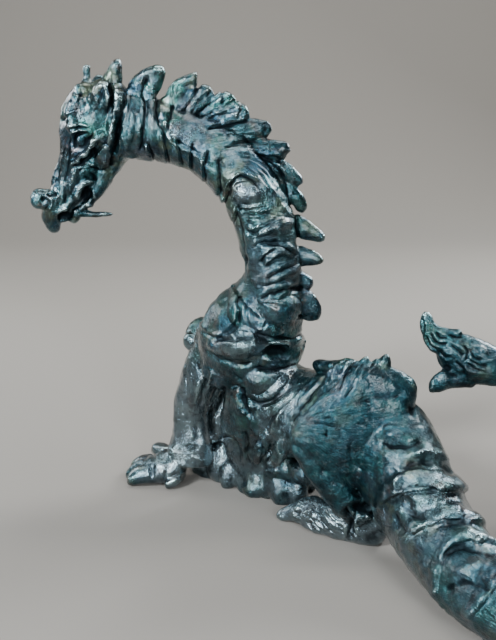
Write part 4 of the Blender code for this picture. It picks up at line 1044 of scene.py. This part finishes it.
def tool_grain(points, normals):
    """Where each point lies across and along the fine marks of the tools there, in pixels of the picture."""
    work = Carving(points, normals)
    x, y = work.seen.T
    place = work.points

    def combed(degrees):
        return turned(x, y, degrees)[::-1]

    def spread(centre_x, centre_y, middle):
        radius = np.hypot(x - centre_x, y - centre_y)
        return np.arctan2(y - centre_y, x - centre_x) * middle, radius

    across, along = combed(82)
    regions = (
        (place[:, 2] < 150, combed(4)),
        ((place[:, 2] > 140) & (place[:, 0] < -30), spread(172, 300, 170)),
        ((place[:, 2] > 140) & (place[:, 0] > -32), spread(150, 137, 70)),
        ((place[:, 2] > 136) & (x > 222) & (y > 150) & (x < 292) & (y < 214), spread(243, 198, 24)[::-1]),
        ((place[:, 2] < 104) & (place[:, 0] < 50), combed(84)),
        ((place[:, 2] < 92) & (place[:, 0] > 16) & (place[:, 1] < 26) & (place[:, 0] < 72),
         spread(*KNEE_SEEN, 60)),
        ((place[:, 2] < 24) & (place[:, 0] > 8) & (place[:, 1] < 32) & (place[:, 0] < 70), combed(40)),
        ((place[:, 1] < 14) & (x > 384) & (y > 425), combed(28)),
        ((place[:, 0] < -52) & (place[:, 2] > 100) & (x < 112), combed(112)),
    )
    for inside, (u, v) in regions:
        across = np.where(inside, u, across)
        along = np.where(inside, v, along)
    return across, along


def relief(figure):
    """Works the whole surface: drawn strokes first, then hammer marks and the fine unevenness of cast wax."""
    mesh = figure.data
    edges = neighbours(mesh)
    points = averaged(coordinates(mesh), edges, 3)
    # Rubbed parts low on the near side, and the petals, are softened first
    soft = handled(points) * np.clip((60 - points[:, 2]) / 10, 0, 1) * (points[:, 1] < 14)
    petals = within(points, (6, 50, 8), (28, 16, 10))
    points += soft[:, None] * (averaged(points, edges, 14) - points)
    points += petals[:, None] * (averaged(points, edges, 8) - points)
    move(mesh, points)
    normals = unit(averaged(normals_of(mesh), edges, 3))
    work = Carving(points, normals)
    dice = random.Random(SEED)
    carve_neck(work)
    carve_collar(work)
    carve_head(work)
    carve_front(work)
    carve_haunch(work, dice)
    carve_foot(work, dice)
    carve_tail(work)
    carve_tip(work)
    rough = 0.20 * lattice_noise(points / 3.2, 1) + 0.10 * lattice_noise(points / 1.5, 2)
    crinkle = 1 - 2 * np.abs(lattice_noise(points / 5.2, 3))
    facets = 1 - 2 * np.abs(lattice_noise(points / 9.0, 4))
    on_tip = np.clip((points[:, 0] - 78) / 8, 0, 1) * np.clip((points[:, 2] - 60) / 8, 0, 1)
    on_sheet = within(points, (6, 52, 20), (25, 20, 27))
    rags = (2 * np.abs(lattice_noise(points / 12.0, 5)) - 0.7
            + 0.3 * (2 * np.abs(lattice_noise(points / 5.5, 6)) - 0.7))
    depth = work.depth + rough + crinkle * (0.18 + 0.25 * on_tip) + 0.30 * facets + 0.9 * on_sheet * rags
    move(mesh, points + normals * depth[:, None])
    return work.depth


def evaluated(figure):
    graph = bpy.context.evaluated_depsgraph_get()
    made = bpy.data.meshes.new_from_object(figure.evaluated_get(graph))
    figure.modifiers.clear()
    figure.data = made


def cast(clay, name):
    figure = bpy.data.objects.new(name, clay.mesh(name))
    bpy.context.scene.collection.objects.link(figure)
    skin = figure.modifiers.new("one skin", "REMESH")
    skin.mode = "VOXEL"
    skin.voxel_size = GRAIN
    evaluated(figure)
    return figure


def read(items, key, width, kind):
    flat = np.empty(len(items) * width, kind)
    items.foreach_get(key, flat)
    return flat.reshape(-1, width)


def coordinates(mesh):
    return read(mesh.vertices, "co", 3, np.float32).astype(float)


def normals_of(mesh):
    return read(mesh.vertex_normals, "vector", 3, np.float32).astype(float)


def neighbours(mesh):
    return read(mesh.edges, "vertices", 2, np.int32)


def move(mesh, points):
    mesh.vertices.foreach_set("co", points.astype(np.float32).ravel())
    mesh.update()


def averaged(values, edges, rounds):
    """Values smoothed over the mesh by taking the mean with each vertex's neighbours."""
    count = np.bincount(edges.ravel(), minlength=len(values)).astype(float)
    for _ in range(rounds):
        total = np.zeros_like(values)
        for column in range(values.shape[1]):
            total[:, column] = (np.bincount(edges[:, 0], values[edges[:, 1], column], len(values))
                                + np.bincount(edges[:, 1], values[edges[:, 0], column], len(values)))
        values = 0.5 * values + 0.5 * total / np.maximum(count, 1)[:, None]
    return values


def thin(figure):
    triangles = sum(len(p.vertices) - 2 for p in figure.data.polygons)
    few = figure.modifiers.new("few faces", "DECIMATE")
    few.ratio = min(1.0, FACES / triangles)
    evaluated(figure)


def seat(figure):
    """Cuts the soles flat at the floor and sets the figure into the frame in metres."""
    body = bmesh.new()
    body.from_mesh(figure.data)
    everything = body.verts[:] + body.edges[:] + body.faces[:]
    cut = bmesh.ops.bisect_plane(body, geom=everything, plane_co=(0, 0, SINK), plane_no=(0, 0, -1),
                                 clear_outer=True)
    rim = [item for item in cut["geom_cut"] if isinstance(item, bmesh.types.BMEdge)]
    bmesh.ops.holes_fill(body, edges=rim, sides=0)
    bmesh.ops.triangulate(body, faces=[face for face in body.faces if len(face.verts) > 4])
    for vert in body.verts:
        vert.co = into_frame(*vert.co)
    for face in body.faces:
        face.smooth = True
    body.to_mesh(figure.data)
    body.free()


# How far out of its surroundings a point stands where it counts as fully proud, in units
FINE_PROUD = 0.18
BROAD_PROUD = 1.1
CARVED_PROUD = 1.5
MOST_PROUD = 1.5  # and how many times that far is still told apart


def stand_out(figure, carved):
    """How far each point stands out of its surroundings, finely and broadly, and how it was carved."""
    mesh = figure.data
    points = coordinates(mesh)
    normals = normals_of(mesh)
    edges = neighbours(mesh)
    near = averaged(points, edges, 6)
    wide = averaged(near, edges, 70)
    fine = ((points - near) * normals).sum(1) / FINE_PROUD
    broad = ((near - wide) * normals).sum(1) / BROAD_PROUD
    return points, np.clip(np.stack([fine, broad, carved / CARVED_PROUD], 1), -MOST_PROUD, MOST_PROUD)


def handled(points):
    """Where the patina is worn to steel grey: stepping foreleg, hind foot, tail and some swellings."""
    x, y, z = points.T
    along_tail = np.clip((x - 50 - 0.4 * (z - 30)) / 18, 0, 1) * np.clip((14 - y) / 24, 0, 1)
    worn = 0.45 * along_tail * np.clip((y + 70) / 40, 0.2, 1)
    for share, centre, radii in ((1.0, (-30, 64, 30), (26, 26, 46)), (1.0, (38, 8, 4), (36, 30, 14)),
                                 (0.3, (2, 28, 124), (20, 16, 16)), (0.9, (-2, 30, 83), (11, 10, 7)),
                                 (0.8, (-12, 60, 10), (14, 14, 14)), (0.5, (15, 26, 50), (13, 14, 20)),
                                 (0.6, (0, 28, 149.5), (8, 8, 6)), (0.7, (8, 52, 24), (22, 16, 24))):
        worn += share * within(points, centre, radii)
    return np.clip(worn, 0, 1)


def dulled(points):
    """Where the patina is darkest and least rubbed: haunch, throat, chest and the far parts of the tail."""
    dull = np.zeros(len(points))
    for share, centre, radii in ((1.0, (46, 0, 54), (30, 24, 32)), (0.55, (12, 30, 119), (17, 17, 18)),
                                 (0.7, (-9, 34, 97), (15, 20, 13)), (0.65, (80, -68, 16), (30, 22, 26)),
                                 (0.65, (93, 16, 82), (24, 18, 22))):
        dull += share * within(points, centre, radii)
    return np.clip(dull, 0, 1)


def store(figure, marks):
    """Takes the marks over to the thinned mesh, for the patina to read."""
    full, values = marks
    tree = KDTree(len(full))
    for i, point in enumerate(full):
        tree.insert(point, i)
    tree.balance()
    mesh = figure.data
    points = coordinates(mesh)
    found = np.array([tree.find(co)[1] for co in points])
    across, along = tool_grain(points, normals_of(mesh))
    columns = {name: values[found, i] for i, name in enumerate(("fine", "broad", "carved"))}
    columns.update(across=across, along=along, worn=handled(points), dull=dulled(points))
    for name, column in columns.items():
        stored = mesh.attributes.new(name, "FLOAT", "POINT")
        stored.data.foreach_set("value", column.astype(np.float32))


# Colours of the worn bronze, of its high points (partly worn metal, partly painted highlights), of the dirt
# in its marks, and of the paper far from the viewer and near; the darker near paper is painted shade
STEEL = (0.165, 0.215, 0.245)
SILVER_POLISH_AND_HIGHLIGHT = (0.290, 0.400, 0.410)
SOOT = (0.005, 0.012, 0.017)
PAPER_FAR = (0.192, 0.181, 0.163)
PAPER_IN_PAINTED_SHADE = (0.134, 0.126, 0.114)

# Paper that turns up into a wall, in metres: its front edge and where it starts to bend, both along Y,
# the radius of the bend, the top and half the width
PAPER_FRONT = -1.6
PAPER_FLAT_TO = 0.75
PAPER_BEND = 0.55
PAPER_TOP = 2.2
PAPER_HALF_WIDTH = 2.6
# Painted shade on the paper, darkest toward the viewer and palest toward the wall, along Y
PAINTED_SHADE_FROM = -0.05  # where it is darkest and where it is palest
PAINTED_SHADE_TO = 0.42


def patina():
    """Glossy patinated bronze that is dark in its hollows and bright where hands rub it, with highlights
    painted in silver on its high points.
    """
    bronze = bpy.data.materials.new("patinated bronze")
    bronze.use_nodes = True
    tree = bronze.node_tree
    nodes, links = tree.nodes, tree.links
    shader = nodes["Principled BSDF"]

    def node(kind, **values):
        made = nodes.new(kind)
        for key, value in values.items():
            setattr(made, key, value)
        return made

    def attribute(name):
        made = node("ShaderNodeAttribute", attribute_name=name)
        return made.outputs["Fac"]

    def noise(scale, detail=4.0, rough=0.6, at=None):
        made = node("ShaderNodeTexNoise")
        made.inputs["Scale"].default_value = scale
        made.inputs["Detail"].default_value = detail
        made.inputs["Roughness"].default_value = rough
        links.new(at or where.outputs["Object"], made.inputs["Vector"])
        return made.outputs["Fac"]

    def ramp(value, stops):
        made = node("ShaderNodeValToRGB")
        elements = made.color_ramp.elements
        while len(elements) < len(stops):
            elements.new(0.5)
        for element, (at, tint) in zip(elements, stops):
            element.position = at
            element.color = (*tint, 1)
        links.new(value, made.inputs["Fac"])
        return made.outputs["Color"]

    def math_node(kind, a, b):
        made = node("ShaderNodeMath", operation=kind)
        for socket, value in zip(made.inputs, (a, b)):
            if isinstance(value, (int, float)):
                socket.default_value = value
            else:
                links.new(value, socket)
        return made.outputs[0]

    def mix(share, a, b):
        made = node("ShaderNodeMix", data_type="RGBA")
        links.new(share, made.inputs["Factor"])
        for socket, value in ((made.inputs["A"], a), (made.inputs["B"], b)):
            if isinstance(value, tuple):
                socket.default_value = (*value, 1)
            else:
                links.new(value, socket)
        return made.outputs["Result"]

    where = node("ShaderNodeTexCoord")
    fine, broad, carved = attribute("fine"), attribute("broad"), attribute("carved")

    def strokes(wide, length):
        """Noise drawn out along the marks of the tools."""
        flow = node("ShaderNodeCombineXYZ")
        links.new(math_node("DIVIDE", attribute("across"), wide), flow.inputs["X"])
        links.new(math_node("DIVIDE", attribute("along"), length), flow.inputs["Y"])
        return noise(1.0, 3.0, 0.6, flow.outputs["Vector"])

    def band(value, low, high):
        """Rises from 0 to 1 between low and high."""
        made = node("ShaderNodeMapRange", interpolation_type="SMOOTHSTEP")
        links.new(value, made.inputs["Value"])
        made.inputs["From Min"].default_value = low
        made.inputs["From Max"].default_value = high
        return made.outputs["Result"]

    def times(a, b):
        return math_node("MULTIPLY", a, b)

    def plus(a, b):
        return math_node("ADD", a, b)

    def rest(value):
        return math_node("SUBTRACT", 1.0, value)

    # Body colour: blue-green patina with patches of sea green, blue, violet grey, olive and bare copper
    dull = attribute("dull")
    worn = times(attribute("worn"), plus(0.45, times(noise(45), 1.0)))
    colour = ramp(noise(34, 7.0, 0.70), [(0.36, (0.004, 0.016, 0.022)), (0.46, (0.011, 0.042, 0.053)),
                                          (0.55, (0.027, 0.092, 0.101)), (0.68, (0.017, 0.062, 0.085))])
    for scale, low, high, share, tint in ((19, 0.48, 0.60, 0.45, (0.036, 0.078, 0.110)),
                                          (52, 0.52, 0.62, 0.50, (0.020, 0.096, 0.072)),
                                          (61, 0.53, 0.63, 0.50, (0.016, 0.056, 0.100)),
                                          (70, 0.56, 0.65, 0.50, (0.080, 0.090, 0.040)),
                                          (83, 0.56, 0.65, 0.40, (0.060, 0.072, 0.110)),
                                          (118, 0.60, 0.68, 0.50, (0.110, 0.062, 0.042))):
        colour = mix(times(band(noise(scale), low, high), share), colour, tint)
    colour = mix(times(worn, 0.75), colour, STEEL)
    colour = mix(times(dull, 0.70), colour, (0.007, 0.032, 0.044))
    marks = plus(times(strokes(2.8, 8.0), 0.5), times(strokes(1.3, 4.5), 0.5))
    speckle = noise(420, 3.0, 0.7)
    blotch = noise(160, 5.0, 0.65)
    colour = mix(times(band(blotch, 0.50, 0.36), 0.70), colour, (0.004, 0.010, 0.014))
    colour = mix(times(band(marks, 0.54, 0.65), 0.32), colour, (0.100, 0.175, 0.185))
    colour = mix(times(band(marks, 0.47, 0.36), 0.50), colour, SOOT)
    colour = mix(times(band(speckle, 0.56, 0.70), 0.30), colour, (0.130, 0.190, 0.205))
    colour = mix(times(band(speckle, 0.46, 0.34), 0.45), colour, SOOT)
    # Recesses stay dark; high points are worn bright here and there, and on rims and swellings that
    # brightening is also a painted highlight
    level = plus(times(carved, 0.60), plus(times(broad, 0.42), times(fine, 0.28)))
    hollow = times(band(level, -0.16, -0.68), rest(times(worn, 0.5)))
    rubbed_and_highlit = plus(plus(times(broad, 0.50), times(fine, 0.45)), times(blotch, 1.5))
    rubbed_and_highlit = plus(rubbed_and_highlit, times(worn, 0.25))
    polish_and_painted_highlight = times(band(rubbed_and_highlit, 1.25, 1.85), rest(times(dull, 0.75)))
    # Painted highlight: high rims and swellings are coloured silver, partly as worn metal and partly standing
    # in for highlights
    colour = mix(times(times(polish_and_painted_highlight, band(speckle, 0.34, 0.52)), 0.60), colour, SILVER_POLISH_AND_HIGHLIGHT)
    colour = mix(times(hollow, 0.95), colour, (0.002, 0.004, 0.006))
    links.new(colour, shader.inputs["Base Color"])
    shader.inputs["Metallic"].default_value = 0.95
    rough = plus(plus(0.17, times(dull, 0.24)), times(noise(140), 0.24))
    rubbed_smooth = plus(times(polish_and_painted_highlight, 0.14), times(worn, 0.08))
    rough = plus(math_node("SUBTRACT", rough, rubbed_smooth), times(hollow, 0.25))
    links.new(rough, shader.inputs["Roughness"])
    # Wax over the patina, thin in patches and gone from the recesses
    wax = times(band(noise(90), 0.38, 0.62), 0.75)
    wax = times(plus(wax, 0.20), rest(hollow))
    links.new(times(wax, rest(times(dull, 0.75))), shader.inputs["Coat Weight"])
    shader.inputs["Coat Roughness"].default_value = 0.13
    height = plus(times(marks, 1.1), plus(times(noise(420), 0.6), times(blotch, 1.0)))
    for normal, strength, distance in (("Normal", 0.7, 0.0008), ("Coat Normal", 0.5, 0.0006)):
        bump = node("ShaderNodeBump")
        bump.inputs["Strength"].default_value = strength
        bump.inputs["Distance"].default_value = distance
        links.new(height, bump.inputs["Height"])
        links.new(bump.outputs["Normal"], shader.inputs[normal])
    return bronze


def paper_in_painted_shade():
    """Paper with painted shade: it is a little darker toward the viewer."""
    paper = bpy.data.materials.new("paper in painted shade")
    paper.use_nodes = True
    nodes, links = paper.node_tree.nodes, paper.node_tree.links
    shader = nodes["Principled BSDF"]
    shader.inputs["Roughness"].default_value = 0.85
    place = nodes.new("ShaderNodeTexCoord")
    parts = nodes.new("ShaderNodeSeparateXYZ")
    # Painted shade: the paper's colour turns darker toward the viewer
    shade = nodes.new("ShaderNodeMapRange")
    shade.interpolation_type = "SMOOTHSTEP"
    shade.inputs["From Min"].default_value = PAINTED_SHADE_FROM
    shade.inputs["From Max"].default_value = PAINTED_SHADE_TO
    tint = nodes.new("ShaderNodeMix")
    tint.data_type = "RGBA"
    tint.inputs["A"].default_value = (*PAPER_IN_PAINTED_SHADE, 1)
    tint.inputs["B"].default_value = (*PAPER_FAR, 1)
    links.new(place.outputs["Object"], parts.inputs["Vector"])
    links.new(parts.outputs["Y"], shade.inputs["Value"])
    links.new(shade.outputs["Result"], tint.inputs["Factor"])
    links.new(tint.outputs["Result"], shader.inputs["Base Color"])
    return paper


def add_backdrop():
    """A pale floor that turns up into a wall behind the figure."""
    outline = [(PAPER_FRONT, 0.0), (PAPER_FLAT_TO, 0.0)]
    outline += [(PAPER_FLAT_TO + PAPER_BEND * math.sin(a), PAPER_BEND - PAPER_BEND * math.cos(a))
                for a in np.linspace(0.1, math.pi / 2, 16)]
    outline += [(PAPER_FLAT_TO + PAPER_BEND, PAPER_TOP)]
    body = bmesh.new()
    rows = [[body.verts.new((x, y, z)) for y, z in outline] for x in (-PAPER_HALF_WIDTH, PAPER_HALF_WIDTH)]
    for i in range(len(outline) - 1):
        body.faces.new((rows[0][i], rows[1][i], rows[1][i + 1], rows[0][i + 1])).smooth = True
    mesh = bpy.data.meshes.new("backdrop")
    body.to_mesh(mesh)
    body.free()
    floor = bpy.data.objects.new("backdrop", mesh)
    bpy.context.scene.collection.objects.link(floor)
    mesh.materials.append(paper_in_painted_shade())


def add_light(name, place, aim, size, power, colour=(1, 1, 1)):
    lamp = bpy.data.lights.new(name, "AREA")
    lamp.shape = "RECTANGLE"
    lamp.size, lamp.size_y = size
    lamp.energy = power
    lamp.color = colour
    holder = bpy.data.objects.new(name, lamp)
    holder.location = place
    holder.rotation_mode = "QUATERNION"
    holder.rotation_quaternion = (Vector(aim) - Vector(place)).to_track_quat("-Z", "Y")
    bpy.context.scene.collection.objects.link(holder)


def light_stage():
    world = bpy.data.worlds.new("soft room")
    world.use_nodes = True
    ground = world.node_tree.nodes["Background"]
    ground.inputs["Color"].default_value = (0.80, 0.84, 0.88, 1)
    ground.inputs["Strength"].default_value = 0.09
    bpy.context.scene.world = world
    cool = (0.93, 0.97, 1.0)
    add_light("window", (-0.60, -0.48, 0.60), (0, 0, 0.08), (0.18, 0.18), 18, cool)
    add_light("back window", (0.55, 0.48, 0.55), (0, 0, 0.10), (0.26, 0.26), 11, cool)
    add_light("front lamp", (0.25, -0.75, 0.42), (0, 0, 0.05), (0.18, 0.18), 7, cool)
    add_light("low window", (-0.50, -0.66, 0.20), (-0.03, 0.03, 0.05), (0.12, 0.30), 6.5, cool)
    add_light("side window", (-0.70, 0.42, 0.36), (-0.02, 0, 0.10), (0.26, 0.26), 2.5, cool)
    add_light("ceiling", (0.05, 0.05, 1.15), (0, 0.05, 0.0), (0.7, 0.5), 6)
    add_light("wall wash", (0.0, 0.30, 1.45), (0, 1.2, 0.45), (1.6, 0.3), 19, (1.0, 0.98, 0.95))


def set_camera():
    lens = bpy.data.cameras.new("camera")
    lens.sensor_width = 36
    lens.lens = 18 / math.tan(CAMERA_HALF_HEIGHT)
    camera = bpy.data.objects.new("camera", lens)
    camera.location = into_frame(*CAMERA)
    camera.rotation_euler = (math.pi / 2 - CAMERA_PITCH, 0, 0)
    lens.clip_start = 0.01
    bpy.context.scene.collection.objects.link(camera)
    bpy.context.scene.camera = camera


def build_dragon():
    clay = Clay()
    for add in (add_neck, add_folds, add_collar, add_head, add_trunk, add_forelegs, add_haunch,
                add_hind_feet, add_tail):
        add(clay)
    dragon = cast(clay, "dragon_bronze")
    carved = relief(dragon)
    marks = stand_out(dragon, carved)
    thin(dragon)
    store(dragon, marks)
    seat(dragon)
    dragon.data.materials.append(patina())
    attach(dragon, "root")
    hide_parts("dragon")


build_dragon()
add_backdrop()
light_stage()
set_camera()
